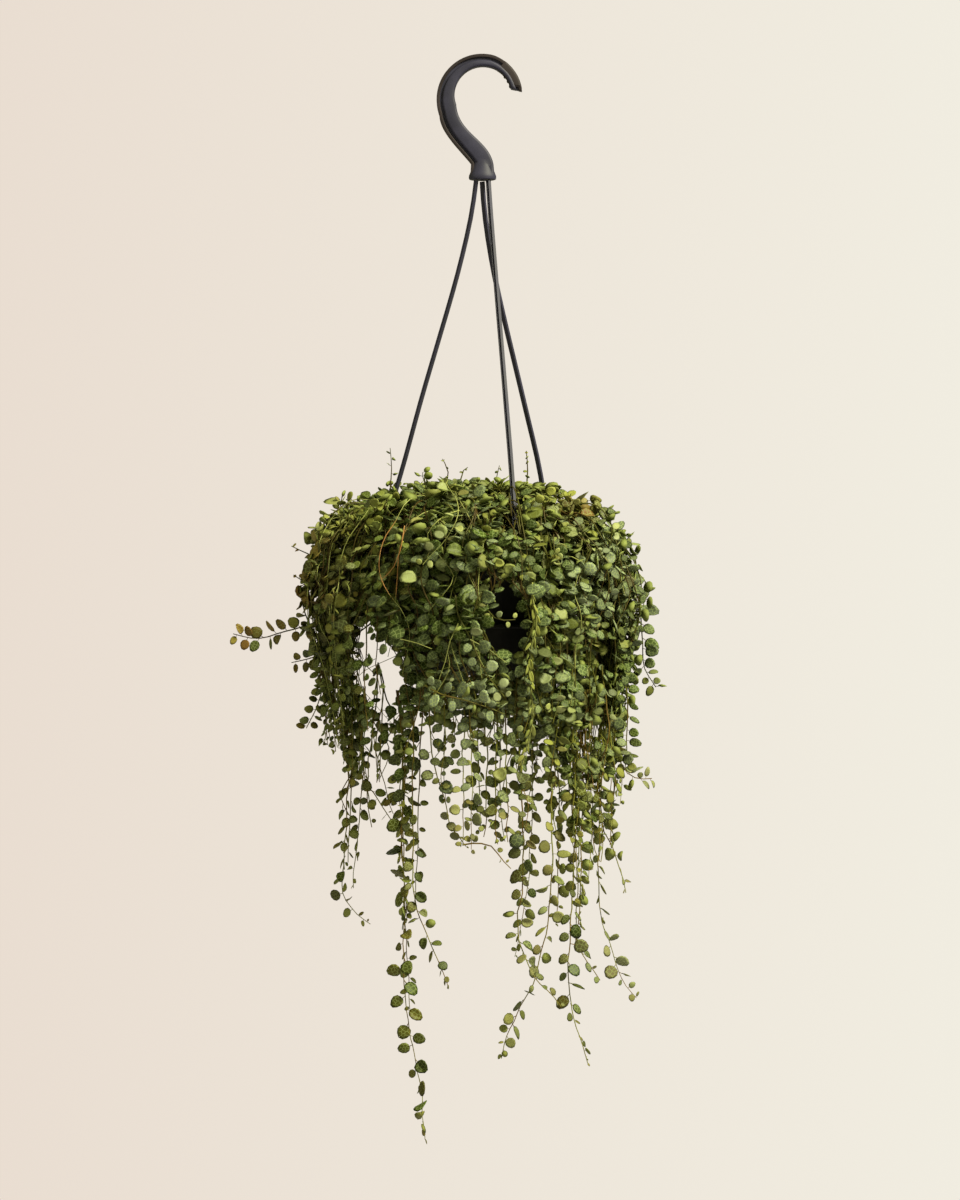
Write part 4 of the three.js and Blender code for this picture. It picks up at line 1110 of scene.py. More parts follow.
def model_leaf():
    """One domed leaf of unit radius with its stalk: root at the origin, blade along +X"""
    deselect_all()
    bpy.ops.mesh.primitive_uv_sphere_add(segments=LEAF_SIDES, ring_count=LEAF_RINGS + 1, radius=1)
    leaf = bpy.context.object
    bpy.ops.object.mode_set(mode="EDIT")
    shape_part(lambda co: abs(co.z - SPHERE_RING_HEIGHT) < NEAR_RING,
               (0, 0, LEAF_INNER_RISE * LEAF_DOME - SPHERE_RING_HEIGHT),
               LEAF_INNER_RADIUS / SPHERE_RING_RADIUS)
    shape_part(lambda co: abs(co.z + SPHERE_RING_HEIGHT) < NEAR_RING, (0, 0, SPHERE_RING_HEIGHT),
               1 / SPHERE_RING_RADIUS)
    shape_part(lambda co: co.z > NEAR_END, (0, 0, LEAF_DOME - 1))
    shape_part(lambda co: co.z < -NEAR_END, (0, 0, 1 - LEAF_BELLY))
    shape_part(lambda co: co.x > NEAR_END, (LEAF_POINT, 0, LEAF_LIFT))
    shape_part(lambda co: co.x < -NEAR_END, (LEAF_HEEL, 0, LEAF_LIFT))
    bpy.ops.mesh.select_all(action="SELECT")
    bpy.ops.transform.translate(value=(1 + LEAF_STALK, 0, 0))
    bpy.ops.mesh.primitive_cone_add(
        vertices=STALK_SIDES, radius1=STALK_ROOT_RADIUS, radius2=STALK_END_RADIUS,
        depth=LEAF_STALK + STALK_IN_BLADE, location=((LEAF_STALK + STALK_SHIFT) / 2, 0, LEAF_LIFT),
        rotation=(0, -math.pi / 2, 0))
    bpy.ops.object.mode_set(mode="OBJECT")
    return leaf


# Places of the finishes in a leafy piece's material slots
TOP_FINISH, BACK_FINISH, STEM_FINISH, LIGHT_FINISH = range(4)


class LeafTemplate:
    """The modelled leaf as arrays, ready to be copied"""

    def __init__(self):
        leaf = model_leaf()
        mesh = leaf.data
        self.points = np.array([vertex.co for vertex in mesh.vertices], dtype=float)
        self.faces = [tuple(face.vertices) for face in mesh.polygons]
        blade_points = LEAF_RINGS * LEAF_SIDES + 2
        self.finishes = []
        for face in mesh.polygons:
            if min(face.vertices) >= blade_points:
                self.finishes.append(STEM_FINISH)
            else:
                self.finishes.append(TOP_FINISH if face.normal.z > 0 else BACK_FINISH)
        bpy.data.objects.remove(leaf)
        bpy.data.meshes.remove(mesh)

    def copies(self, leaves):
        """Points, faces, finishes, blade coordinates and looks of all the leaves"""
        local = np.repeat(self.points[None], len(leaves), axis=0)
        curl = np.array([leaf.curl for leaf in leaves])[:, None]
        fold = np.array([leaf.fold for leaf in leaves])[:, None]
        middle = local[:, :, 0] - 1 - LEAF_STALK
        local[:, :, 1] *= np.array([leaf.breadth for leaf in leaves])[:, None]
        from_middle = middle ** 2 + local[:, :, 1] ** 2
        on_blade = local[:, :, 0] > LEAF_STALK
        local[:, :, 2] += np.where(on_blade, curl * from_middle + fold * np.abs(local[:, :, 1]), curl)
        local *= np.array([leaf.radius for leaf in leaves])[:, None, None]
        bases = np.array([[leaf.along, leaf.across, leaf.face] for leaf in leaves])
        roots = np.array([leaf.root for leaf in leaves])
        placed = np.einsum("nvi,nij->nvj", local, bases) + roots[:, None]
        count = len(self.points)
        faces = [tuple(v + count * i for v in face) for i in range(len(leaves)) for face in self.faces]
        blade = np.stack([middle[0], self.points[:, 1]], axis=1) * 0.5 + 0.5
        looks = np.repeat(np.array([leaf.look for leaf in leaves]), count, axis=0)
        return placed.reshape(-1, 3), faces, self.finishes * len(leaves), blade, looks


class Leaf:
    """Where one leaf stands, how large it is and how it is coloured"""

    def __init__(self, rng, root, along, face, radius, look):
        self.root = root
        self.along = along.normalized()
        self.across = face.cross(self.along).normalized()
        self.face = self.along.cross(self.across)
        self.radius = radius
        self.breadth = rng.uniform(*(BREADTH if rng.random() > NARROW_SHARE else NARROW_BREADTH))
        self.curl = rng.uniform(*CURL)
        self.fold = rng.uniform(*(FOLD if rng.random() > FOLDED_SHARE else DEEP_FOLD))
        age_and_painted_light, bronze_and_painted_light, silver = (min(1, max(0, part)) for part in look)
        self.look = (age_and_painted_light, bronze_and_painted_light, rng.random(), silver)

    def middle(self):
        return self.root + self.along * (self.radius * (1 + LEAF_STALK))


def spot_share(place, spot):
    """What a spot adds at a place, less and less away from its middle"""
    x, z, reach, amount = spot
    return amount * math.exp(-((place[0] - x) ** 2 + (place[2] - z) ** 2) / reach ** 2)


def patch_at(x, y, z):
    """Patches of older and younger leaves, from -1 to 1"""
    across, deep, up, down = PATCH_RATES
    return math.sin(across * x + up * z) * math.sin(deep * y - down * z)


def look_at(place, rng):
    """How old, how bronzed and how silvery the leaves are at a place, with painted light and shade worked
    into all three
    """
    x, y, z = place
    behind = 1 if y < 0 else NEW_GROWTH_BEHIND
    age_and_painted_light = GROWN_AGE + AGE_PATCHES * patch_at(x, y, z)
    age_and_painted_light -= behind * spot_share(place, NEW_GROWTH) + sum(spot_share(place, spot) for spot in YOUNGER)
    # Painted shade: leaves on the left below the top are made older, so darker, on the side away from the key
    # lamp
    age_and_painted_light += 0.12 * rise(-x, start=0.01, reach=0.04) * rise(-z, start=0.335, reach=0.02)
    # Painted glow: low leaves are made younger, so paler, for the room's light showing through them
    age_and_painted_light -= 0.28 * rise(-z, start=0.485, reach=0.07)
    bronze_and_painted_light = sum(spot_share(place, spot) for spot in BRONZE_AND_SHADE_SPOTS)
    # More bronzing on the far left is partly the leaves' flush and partly painted shade; more bronzing low
    # down is a painted warm glow of light through the leaves
    bronze_and_painted_light += 0.6 * rise(-x, start=0.115, reach=0.03)
    bronze_and_painted_light += 0.15 * rise(-x, start=0.08, reach=0.02) + 0.28 * rise(-z, start=0.46, reach=0.08)
    bronze_and_painted_light *= rng.uniform(*BRONZE_RANGE)
    bronze_and_painted_light += STRAY_BRONZE if rng.random() < STRAY_BRONZE_SHARE else 0
    # The silver here includes a painted highlight on the right side, from the first silvered spot
    silver = PLAIN_SILVER + sum(spot_share(place, spot) for spot in SILVER_AND_HIGHLIGHT_SPOTS)
    silver += 0.35 * rise(x, start=0.0, reach=0.06) * rise(-z, start=0.5, reach=0.1)
    return age_and_painted_light + rng.gauss(0, AGE_SPREAD), bronze_and_painted_light, silver + rng.gauss(0, SILVER_SPREAD)


class Habit:
    """How the leaves of one kind of stem stand, how small its tip leaf is and how it is coloured"""

    def __init__(self, lift, spread, edge_on, droop=(-0.1, 0.7), twist=0.0, fresh=0.0, silver=0.0,
                 tip=0.003, narrow=1.0, open_to_windows=True, facing=None):
        self.lift = lift
        self.spread = spread
        self.edge_on = edge_on
        self.droop = droop
        self.twist = twist
        self.fresh = fresh
        self.silver = silver
        self.tip = tip
        self.narrow = narrow
        self.open_to_windows = open_to_windows
        self.facing = facing


DRAPED = Habit(lift=(0.0, 0.8), spread=0.45, edge_on=0.3)
HANGING = Habit(lift=(-0.2, 0.6), spread=0.5, edge_on=0.4, droop=(0.0, 2.0), twist=0.9, fresh=0.05,
                tip=0.0016)
TRAILING = Habit(lift=(-0.2, 0.5), spread=0.4, edge_on=0.25, droop=(0.0, 1.5), twist=0.9, tip=0.0018,
                 open_to_windows=False)
STRAYING = Habit(lift=(0.0, 0.3), spread=0.35, edge_on=0.12, droop=(0.0, 0.9), twist=0.3, fresh=0.15,
                 tip=0.0034, open_to_windows=False, facing=FRONT)
TUFTED = Habit(lift=(0.0, 1.0), spread=0.8, edge_on=0.5, fresh=0.2)
SHOOTING = Habit(lift=(-0.5, 0.5), spread=0.8, edge_on=0.5, fresh=0.5, tip=0.0014)
BRIGHT = Habit(lift=(0.1, 0.4), spread=0.5, edge_on=0.6, droop=(2.5, 4.5), fresh=0.5, narrow=0.45,
               open_to_windows=False)


def leaves_along(path, rng, spacing, radius, habit, pockets=False):
    """Leaves set alternately along a stem, smaller and younger towards the tip"""
    step = np.linalg.norm(path[1] - path[0])
    length = step * (len(path) - 1)
    side = rng.choice((-1, 1))
    phase = rng.uniform(0, math.tau)
    tone = rng.gauss(0, STEM_TONE)
    sheen = rng.gauss(*STEM_SHEEN)
    run = rng.uniform(*FIRST_GAP) * spacing
    leaves = []
    while run < length:
        index = min(len(path) - 2, int(run / step))
        root = Vector(path[index] + (path[index + 1] - path[index]) * (run / step - index))
        flow = Vector(path[index + 1] - path[index]).normalized()
        twist = Matrix.Rotation(habit.twist * math.sin(phase + run * TWIST_RATE), 3, "Z")
        outward = twist @ (habit.facing or outward_at(root))
        aside = flow.cross(outward)
        aside = aside.normalized() if aside.length > LEAST_ASIDE else flow.orthogonal().normalized()
        along = aside * side + outward * rng.uniform(*habit.lift) + flow * rng.uniform(*habit.droop)
        edge_on = habit.edge_on + (TOP_EDGE_ON if root.z > TOP_FROM else 0)
        spread = EDGE_ON_SPREAD if rng.random() < edge_on else habit.spread
        face = (outward + at_azimuth(azimuth_of(root), FACE_LEAN) + UP * FACE_RISE).normalized()
        face += Vector([rng.gauss(0, spread) for _ in range(3)])
        tip = min(1.0, (1 - run / length) * length / TIP_LENGTH)
        size = (habit.tip + (radius - habit.tip) * tip) * rng.triangular(*LEAF_SIZES)
        age_and_painted_light, bronze_and_painted_light, silver = look_at(root, rng)
        look = (age_and_painted_light + tone - TIP_YOUTH * (1 - tip) - habit.fresh, bronze_and_painted_light, silver + sheen + habit.silver)
        leaf = Leaf(rng, root, along, face, size, look)
        leaf.breadth *= habit.narrow
        in_pocket = pockets and noise.noise(leaf.middle() * POCKET_SCALE) > POCKET_LEVEL
        if not in_pocket and not (habit.open_to_windows and is_open(leaf.middle(), rng)):
            leaves.append(leaf)
        side = -side
        run += spacing * rng.uniform(*LEAF_GAPS) * (TIP_GAP + (1 - TIP_GAP) * tip)
    return leaves


# Building one leafy piece


class Growth:
    """The stems and leaves of one piece, and the settings that they grow by"""

    def __init__(self, seed):
        self.rng = random.Random(seed)
        self.leaf = bpy.context.scene.turtle_leaf
        self.stem = bpy.context.scene.turtle_stem
        self.stems = []
        self.light_stems = []
        self.leaves = []

    def add_bare(self, path, light=False):
        (self.light_stems if light else self.stems).append(path)

    def add(self, path, spacing, radius, habit, light=False, pockets=False, rng=None):
        """Adds a stem and its leaves"""
        self.add_bare(path, light)
        self.leaves += leaves_along(path, rng or self.rng, spacing, radius, habit, pockets)


def grow_draped(growth, middle):
    """The stems that lie over the mass"""
    leaf, rng = growth.leaf, growth.rng
    count = growth.stem.draped
    for i in range(count):
        azimuth = middle + BUNCH_STEP * ((i + rng.random()) / count - 0.5)
        depth = rng.uniform(*DRAPED_DEPTH)
        reach = OUTLINE_LENGTH * rng.triangular(*DRAPED_ENDS)
        path = draped_path(rng, azimuth, rng.uniform(*DRAPED_ROOTS), reach, depth)
        light = depth > 0 and rng.random() < LIGHT_SHARE
        radius = leaf.radius * rng.uniform(*DRAPED_LEAVES)
        growth.add(path, leaf.spacing, radius, DRAPED, light, pockets=depth > POCKETS_ABOVE)


def grow_under_top(growth, middle, rng):
    """Short stems just under the top, which close the gaps between those on it"""
    leaf = growth.leaf
    count = growth.stem.under_top
    for i in range(count):
        azimuth = middle + BUNCH_STEP * ((i + rng.random()) / count - 0.5)
        start = rng.uniform(*UNDER_ROOTS)
        reach = start + rng.uniform(*UNDER_LENGTH)
        path = draped_path(rng, azimuth, start, reach, rng.uniform(*UNDER_DEPTH))
        growth.add(path, leaf.spacing, leaf.radius, DRAPED, rng=rng)


def grow_tuft(growth, azimuth):
    """A short stem that stands up out of the top"""
    path = tuft_path(growth.rng, azimuth)
    growth.add(path, TUFT_GAP * growth.leaf.spacing, TUFT_LEAF * growth.leaf.radius, TUFTED)


def grow_trail(growth, route, key):
    """One long stem that hangs out of a bunch, with the shorter ones beside it"""
    leaf, rng = growth.leaf, growth.rng
    path = kinked(smooth_path(route), rng)
    if key == BRIGHT_TRAIL:
        growth.add(path, BRIGHT_GAP * leaf.spacing, BRIGHT_LEAF * leaf.radius, BRIGHT, light=True)
        growth.add_bare(path + np.array(BRIGHT_TWIN), light=True)
        return
    if key in STRAYS:
        growth.add(path, STRAY_GAP * leaf.spacing, STRAYS[key] * leaf.radius, STRAYING)
        return
    share = TRAIL_LEAVES.get(key, TRAIL_LEAF)
    gap = SPARSE_GAP if key in SPARSE_TRAILS else TRAIL_GAP
    radius = share * leaf.radius
    growth.add(path, share * gap * leaf.spacing, radius, TRAILING)
    for _ in range(COMPANIONS.get(key, growth.stem.companions)):
        path = kinked(companion_path(rng, route), rng)
        growth.add(path, HANGING_GAP * leaf.spacing, COMPANION_LEAF * radius, HANGING)


def grow_hanging(growth, azimuth):
    """An extra stem that hangs below the hem"""
    leaf, rng = growth.leaf, growth.rng
    drape = HANGING_DRAPE * hem_drape(azimuth) * rng.uniform(*HANGING_DRAPED)
    bottom = HANGING_BOTTOM - drape - HANGING_SPREAD * rng.random()
    radius = rng.uniform(*HANGING_RADIUS)
    path = kinked(hanging_path(rng, azimuth, radius, HANGING_TOP, bottom), rng)
    growth.add(path, HANGING_GAP * leaf.spacing, HANGING_LEAF * leaf.radius, HANGING)


def grow_feature(growth, route, radius, youth, silver):
    """A stem in front of the rest, bare or with leaves"""
    path = kinked(smooth_path(route), growth.rng, FEATURE_KINK)
    light = youth > LIGHT_YOUTH
    if not radius:
        growth.add_bare(path, light)
        return
    habit = Habit(lift=(-0.1, 0.5), spread=0.35, edge_on=0.15, fresh=youth, silver=silver,
                  tip=FEATURE_TIP * radius, open_to_windows=False)
    growth.add(path, FEATURE_GAP * growth.leaf.spacing, radius, habit, light)


def stems_object(name, paths, radius):
    """Thin round stems, thinner towards their tips, as one mesh"""
    curve = bpy.data.curves.new(name, "CURVE")
    curve.dimensions = "3D"
    curve.bevel_depth = radius
    curve.bevel_resolution = 0
    curve.use_fill_caps = True
    for path in paths:
        kept = path[::2] if len(path) % 2 else np.vstack([path[::2], path[-1:]])
        spline = curve.splines.new("POLY")
        spline.points.add(len(kept) - 1)
        for i, (point, place) in enumerate(zip(spline.points, kept)):
            point.co = (*place, 1)
            point.radius = 1 - STEM_TAPER * i / (len(kept) - 1)
    stems = bpy.data.objects.new(name, curve)
    bpy.context.collection.objects.link(stems)
    select_only(stems)
    bpy.ops.object.convert(target="MESH")
    return bpy.context.object


def leaf_materials():
    names = ("leaf top", "leaf back", "stem", "light stem")
    if names[0] in bpy.data.materials:
        return [bpy.data.materials[name] for name in names]
    scene = bpy.context.scene
    return [leaf_top_material(scene.turtle_leaf), leaf_back_material(scene.turtle_leaf),
            stem_material(scene.turtle_stem), light_stem_material(scene.turtle_stem)]


def leafy_piece(node, template, growth):
    """Joins copies of the leaf and the stems that carry them into the piece that replaces a node"""
    name = node + "_leaves"
    materials = leaf_materials()
    points, faces, finishes, blade, looks = template.copies(growth.leaves)
    mesh = bpy.data.meshes.new(name)
    mesh.from_pydata(points.tolist(), [], faces)
    for material in materials:
        mesh.materials.append(material)
    mesh.polygons.foreach_set("material_index", finishes)
    mesh.polygons.foreach_set("use_smooth", [True] * len(faces))
    corners = np.empty(len(mesh.loops), dtype=np.int32)
    mesh.loops.foreach_get("vertex_index", corners)
    uv = mesh.uv_layers.new(name="blade")
    uv.data.foreach_set("uv", blade[corners % len(template.points)].astype(np.float32).ravel())
    look = mesh.color_attributes.new("look", "FLOAT_COLOR", "POINT")
    look.data.foreach_set("color", looks.astype(np.float32).ravel())
    piece = bpy.data.objects.new(name, mesh)
    bpy.context.collection.objects.link(piece)
    radius = growth.stem.radius
    for paths, finish, thickness in ((growth.stems, STEM_FINISH, radius),
                                     (growth.light_stems, LIGHT_FINISH, LIGHT_THICKNESS * radius)):
        if paths:
            stems = stems_object(name + "_stems", paths, thickness)
            stems.data.materials.clear()
            stems.data.materials.append(materials[finish])
            bpy.ops.object.shade_smooth()
            select_only(piece, stems)
            bpy.ops.object.join()
    finish_piece(piece, name, node)


def bunch_piece(number, template):
    """One bunch: stems draped over the mass, its trails and its extra hanging stems"""
    growth = Growth(BUNCH_SEED + number)
    rng, stem = growth.rng, growth.stem
    middle = FRONT_ARM_AZIMUTH + BUNCH_STEP * (number - 0.5)
    grow_draped(growth, middle)
    grow_under_top(growth, middle, random.Random(UNDER_SEED + number))
    for _ in range(stem.tufts):
        grow_tuft(growth, middle + BUNCH_STEP * (rng.random() - 0.5))
    for i, route in enumerate(TRAILS[number]):
        grow_trail(growth, route, (number, i))
    for _ in range(round(stem.hanging * HANGING_SHARE.get(number, HANGING_REST))):
        grow_hanging(growth, middle + BUNCH_STEP * (rng.random() - 0.5))
    for feature in FEATURES.get(number, []):
        grow_feature(growth, *feature)
    leafy_piece(f"bunch_{number:02d}", template, growth)


def crown_piece(template):
    """The middle of the top: short stems that cross it, and thin upright shoots"""
    growth = Growth(CROWN_SEED)
    rng, leaf, stem = growth.rng, growth.leaf, growth.stem
    for _ in range(stem.crown):
        growth.add(crown_path(rng), leaf.spacing, leaf.radius, DRAPED)
    for _ in range(2 * stem.tufts):
        grow_tuft(growth, rng.uniform(0, 360))
    for route in SHOOTS:
        growth.add(smooth_path(route), SHOOT_GAP, SHOOT_LEAF, SHOOTING)
    leafy_piece("crown", template, growth)


# The hook


def hook_edges():
    """The hook's inner and outer edge in the front view, from the tip to the collar"""
    steps = (HOOK_HEEL_ANGLE - HOOK_TIP_ANGLE) // HOOK_STEP
    angles = [HOOK_TIP_ANGLE + i * HOOK_STEP for i in range(steps + 1)]
    edges = []
    for (centre, radius), tip_radius, bends in ((HOOK_INNER, HOOK_INNER[1], NECK_INNER),
                                                (HOOK_OUTER, HOOK_TIP_RADIUS, NECK_OUTER)):
        edge = []
        for angle in angles:
            taper = max(0.0, (HOOK_TAPER_FROM - angle) / (HOOK_TAPER_FROM - HOOK_TIP_ANGLE))
            reach = radius + (tip_radius - radius) * taper
            turn = math.radians(angle)
            edge.append(Vector((centre[0] + reach * math.cos(turn), centre[1] + reach * math.sin(turn))))
        start, (first, second, end) = edge[-1].copy(), (Vector(point) for point in bends[:3])
        for i in range(1, NECK_STEPS + 1):
            t = i / NECK_STEPS
            edge.append((1 - t) ** 3 * start + 3 * t * (1 - t) ** 2 * first + 3 * t * t * (1 - t) * second
                        + t ** 3 * end)
        edge.append(Vector(bends[3]))
        edges.append(edge)
    return edges


def inset_edge(edge, other, depth):
    return [point + (far - point).normalized() * depth for point, far in zip(edge, other)]


def bevelled_strip(near, far, width, edge):
    """A flat strip between two edges of the front view, with rounded corners"""
    curve = bpy.data.curves.new("strip", "CURVE")
    curve.dimensions = "2D"
    curve.fill_mode = "BOTH"
    curve.extrude = width / 2 - edge
    curve.bevel_depth = edge
    curve.bevel_resolution = 2
    curve.offset = -edge
    outline = near + far[::-1]
    spline = curve.splines.new("POLY")
    spline.points.add(len(outline) - 1)
    for point, place in zip(spline.points, outline):
        point.co = (place.x, place.y, 0, 1)
    spline.use_cyclic_u = True
    strip = bpy.data.objects.new("strip", curve)
    bpy.context.collection.objects.link(strip)
    select_only(strip)
    strip.rotation_euler = (math.pi / 2, 0, 0)
    bpy.ops.object.convert(target="MESH")
    bpy.ops.object.transform_apply(location=True, rotation=True, scale=True)
    close_mesh()
    return bpy.context.object


def close_mesh():
    """Welds the active mesh and turns its faces outwards"""
    bpy.ops.object.mode_set(mode="EDIT")
    bpy.ops.mesh.select_all(action="SELECT")
    bpy.ops.mesh.remove_doubles(threshold=WELD)
    bpy.ops.mesh.normals_make_consistent(inside=False)
    bpy.ops.object.mode_set(mode="OBJECT")


def collar_piece():
    """The flared end of the neck, turned from its profile and flattened"""
    mesh = bpy.data.meshes.new("collar")
    points = [(radius, 0, height) for radius, height in COLLAR_PROFILE]
    mesh.from_pydata(points, [(i, i + 1) for i in range(len(points) - 1)], [])
    collar = bpy.data.objects.new("collar", mesh)
    bpy.context.collection.objects.link(collar)
    select_only(collar)
    screw = collar.modifiers.new("screw", "SCREW")
    screw.steps = COLLAR_SIDES
    screw.use_merge_vertices = True
    screw.merge_threshold = WELD
    bpy.ops.object.modifier_apply(modifier="screw")
    collar.scale = (1, COLLAR_FLATTEN, 1)
    collar.location = (COLLAR_SHIFT, 0, 0)
    bpy.ops.object.transform_apply(location=True, rotation=True, scale=True)
    close_mesh()
    return collar


def tip_ridge(angle):
    """A small rounded tooth across the inside of the hook's tip"""
    deselect_all()
    bpy.ops.mesh.primitive_cylinder_add(vertices=RIDGE_SIDES, radius=RIDGE_RADIUS, depth=RIDGE_LENGTH)
    ridge = bpy.context.object
    turn = math.radians(angle)
    (x, z), radius = HOOK_INNER
    reach = radius + RIDGE_SINK
    ridge.rotation_euler = (math.pi / 2, 0, 0)
    ridge.location = (x + reach * math.cos(turn), 0, z + reach * math.sin(turn))
    bpy.ops.object.transform_apply(location=True, rotation=True, scale=True)
    return ridge


def unite(base, others):
    """Fuses closed parts into one solid"""
    for other in others:
        select_only(base)
        fuse = base.modifiers.new("fuse", "BOOLEAN")
        fuse.operation = "UNION"
        fuse.solver = "EXACT"
        fuse.material_mode = "TRANSFER"
        fuse.object = other
        bpy.ops.object.modifier_apply(modifier="fuse")
        bpy.data.objects.remove(other)
    return base


def hook_piece(body_material, rim_material):
    """The open hook: a broad body, a lower rim round it past a groove, the neck and the collar"""
    inner, outer = hook_edges()
    under_rim = inset_edge(outer, inner, HOOK_RIM_DEPTH)
    under_groove = inset_edge(outer, inner, HOOK_RIM_DEPTH + HOOK_GROOVE)
    web_near = inset_edge(under_groove, inner, HOOK_OVERLAP)
    web_far = inset_edge(outer, inner, HOOK_OVERLAP)
    tip_near = inset_edge(inner, outer, -HOOK_SKIN)[1:HOOK_TIP_STEPS]
    tip_far = inset_edge(outer, inner, -HOOK_SKIN)[1:HOOK_TIP_STEPS]
    rim = bevelled_strip(under_rim, outer, HOOK_RIM_WIDTH, HOOK_EDGE)
    body = bevelled_strip(inner, under_groove, HOOK_BODY_WIDTH, HOOK_BODY_EDGE)
    web = bevelled_strip(web_near, web_far, HOOK_WEB_WIDTH, HOOK_EDGE)
    tip = bevelled_strip(tip_near, tip_far, HOOK_TIP_WIDTH, HOOK_BODY_EDGE)
    ridges = [tip_ridge(angle) for angle in RIDGE_ANGLES]
    for part in (rim, tip, *ridges):
        part.data.materials.append(rim_material)
    dark_parts = [web, body, collar_piece()]
    for part in dark_parts:
        part.data.materials.append(body_material)
    hook = unite(rim, dark_parts)
    select_only(hook, tip, *ridges)
    bpy.ops.object.join()
    return hook


# Operators


def give_material(node, material):
    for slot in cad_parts[node].material_slots:
        slot.material = material


class TURTLES_OT_hanger(Operator):
    """Moulds the hook and gives it and its three arms their plastic"""

    bl_idname = "turtles.hanger"
    bl_label = "Hanger"

    def execute(self, context):
        plastic = context.scene.turtle_plastic
        material = hanger_material("hanger plastic", plastic.hanger_color, plastic.hanger_gloss)
        hook = hook_piece(material, hanger_material("hanger rim", plastic.rim_color, plastic.rim_gloss))
        select_only(hook)
        bpy.ops.object.shade_smooth_by_angle(angle=math.radians(SMOOTH_ANGLE))
        finish_piece(hook, "hook_moulding", "hook")
        for node in ("arm_front", "arm_right", "arm_left"):
            give_material(node, material)
        return {"FINISHED"}


class TURTLES_OT_pot(Operator):
    """Gives the pot, saucer and soil their materials"""

    bl_idname = "turtles.pot"
    bl_label = "Pot and Saucer"

    def execute(self, context):
        material = pot_material(context.scene.turtle_plastic)
        give_material("pot", material)
        give_material("saucer", material)
        give_material("soil", soil_material(context.scene.turtle_plastic))
        return {"FINISHED"}


class TURTLES_OT_crown(Operator):
    """Grows the leafy stems on the middle of the top"""

    bl_idname = "turtles.crown"
    bl_label = "Crown"

    def execute(self, context):
        crown_piece(LeafTemplate())
        return {"FINISHED"}


class TURTLES_OT_bunches(Operator):
    """Grows the twelve bunches that hang over the rim"""

    bl_idname = "turtles.bunches"
    bl_label = "Bunches"

    def execute(self, context):
        template = LeafTemplate()
        for number in range(1, BUNCH_COUNT + 1):
            bunch_piece(number, template)
        return {"FINISHED"}


class TURTLES_OT_stage(Operator):
    """Adds the floor, the room's light, the lamps and the camera"""

    bl_idname = "turtles.stage"
    bl_label = "Stage"

    def execute(self, context):
        stage = context.scene.turtle_stage
        make_floor(stage)
        make_room(context.scene, stage)
        add_lamp("key", KEY_PLACE, KEY_SIZE, stage.key_power, stage.key_color)
        add_lamp("fill", FILL_PLACE, FILL_SIZE, stage.fill_power, stage.fill_color)
        add_camera(context.scene, stage)
        return {"FINISHED"}


def make_floor(stage):
    deselect_all()
    bpy.ops.mesh.primitive_circle_add(
        vertices=FLOOR_SIDES, radius=FLOOR_RADIUS, fill_type="NGON", location=(0, 0, FLOOR))
    floor = bpy.context.object
    floor.name = "floor"
    nodes = Finish("floor")
    cloud = nodes.noise(scale=1.2)
    nodes.set(Base_Color=nodes.mix(cloud, stage.floor_color, toned(stage.floor_color, 0.93)),
              Roughness=0.85)
    floor.data.materials.append(nodes.material)


def make_room(scene, stage):
    """A pale room, a little darker and pinker to the left, which lights the plant more dimly"""
    world = bpy.data.worlds.new("room")
    world.use_nodes = True
    scene.world = world
    scene.view_settings.view_transform = "Standard"
    nodes = Nodes(world.node_tree)
    place = nodes.add("ShaderNodeTexCoord").outputs["Generated"]
    across = nodes.add("ShaderNodeSeparateXYZ", {0: place}).outputs["X"]
    seen = nodes.mix(nodes.ramp(across, -ROOM_SPREAD, ROOM_SPREAD), stage.room_left, stage.room_right)
    camera_ray = nodes.add("ShaderNodeLightPath").outputs["Is Camera Ray"]
    background = nodes.tree.nodes["Background"]
    nodes.feed(nodes.mix(camera_ray, stage.room_tint, seen), background.inputs["Color"])
    nodes.feed(nodes.ramp(camera_ray, 0.0, 1.0, first=stage.room_light), background.inputs["Strength"])


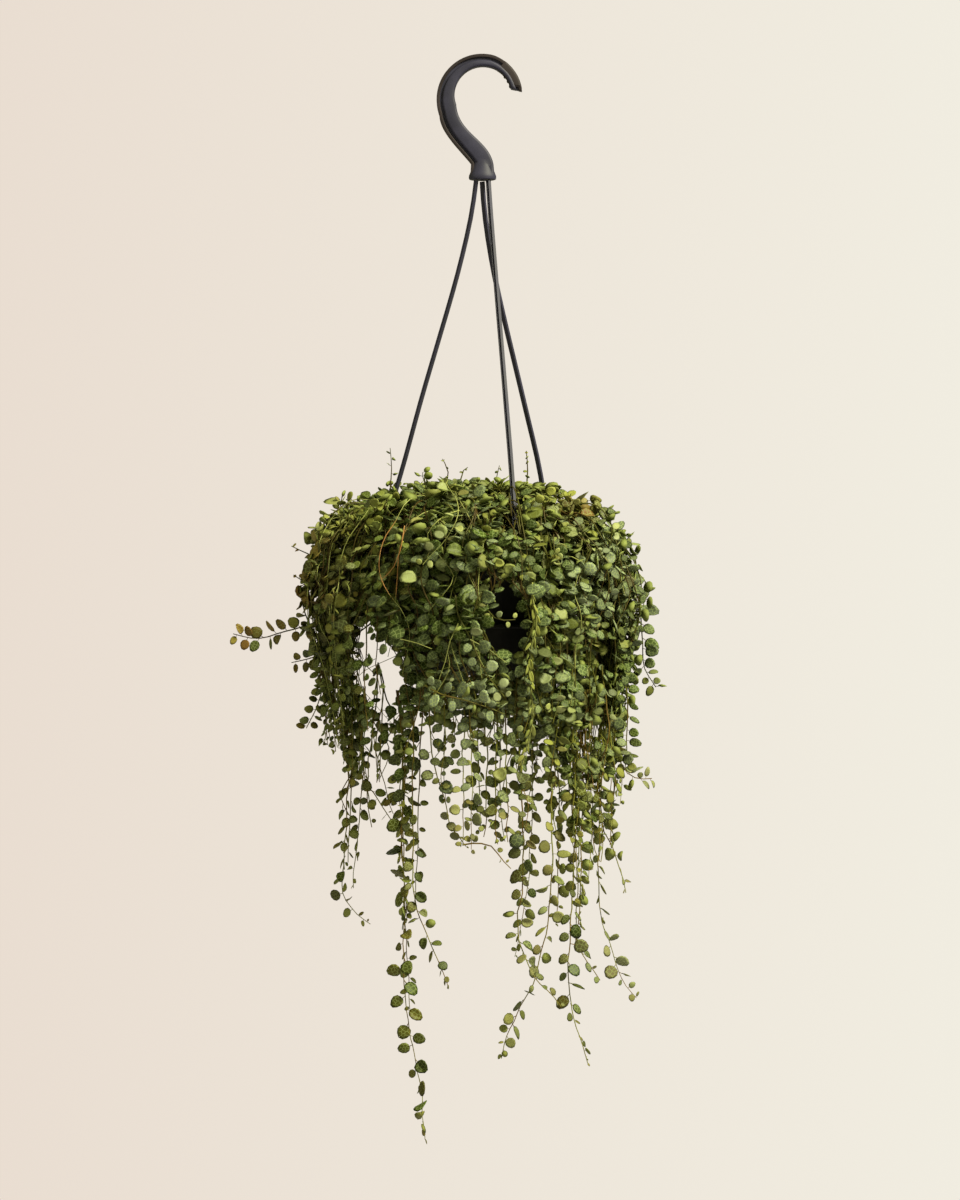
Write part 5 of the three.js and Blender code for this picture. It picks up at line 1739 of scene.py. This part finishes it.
def add_lamp(name, place, size, power, color):
    """A square lamp that shines on the middle of the plant"""
    data = bpy.data.lights.new(name, "AREA")
    data.size = size
    data.energy = power
    data.color = color
    lamp = bpy.data.objects.new(name, data)
    lamp.location = place
    lamp.rotation_euler = (Vector(VIEW_MIDDLE) - Vector(place)).to_track_quat("-Z", "Y").to_euler()
    bpy.context.scene.collection.objects.link(lamp)


def add_camera(scene, stage):
    """The camera of the front view, level with the middle of the plant"""
    data = bpy.data.cameras.new("camera")
    data.sensor_fit = "VERTICAL"
    data.sensor_height = SENSOR_HEIGHT
    data.lens = SENSOR_HEIGHT * stage.camera_distance / stage.view_height
    camera = bpy.data.objects.new("camera", data)
    camera.location = Vector(VIEW_MIDDLE) + FRONT * stage.camera_distance
    camera.rotation_euler = (math.pi / 2, 0, 0)
    scene.collection.objects.link(camera)
    scene.camera = camera


class TURTLES_PT_panel(Panel):
    """Lists the operators and the settings"""

    bl_idname = "TURTLES_PT_panel"
    bl_label = "String of Turtles"
    bl_space_type = "VIEW_3D"
    bl_region_type = "UI"
    bl_category = "Turtles"

    def draw(self, context):
        for operator in OPERATORS:
            self.layout.operator(operator.bl_idname)
        for settings, group in SETTINGS.items():
            box = self.layout.box()
            for name in group.__annotations__:
                box.prop(getattr(context.scene, settings), name)


SETTINGS = {
    "turtle_leaf": LeafSettings,
    "turtle_stem": StemSettings,
    "turtle_plastic": PlasticSettings,
    "turtle_stage": StageSettings,
}
OPERATORS = (TURTLES_OT_hanger, TURTLES_OT_pot, TURTLES_OT_crown, TURTLES_OT_bunches, TURTLES_OT_stage)
CLASSES = (*SETTINGS.values(), *OPERATORS, TURTLES_PT_panel)


def register():
    for cls in CLASSES:
        bpy.utils.register_class(cls)
    for name, group in SETTINGS.items():
        setattr(bpy.types.Scene, name, PointerProperty(type=group))


def unregister():
    for name in SETTINGS:
        delattr(bpy.types.Scene, name)
    for cls in reversed(CLASSES):
        bpy.utils.unregister_class(cls)


def main():
    register()
    bpy.ops.turtles.hanger()
    bpy.ops.turtles.pot()
    bpy.ops.turtles.crown()
    bpy.ops.turtles.bunches()
    bpy.ops.turtles.stage()


if __name__ == "__main__":
    main()
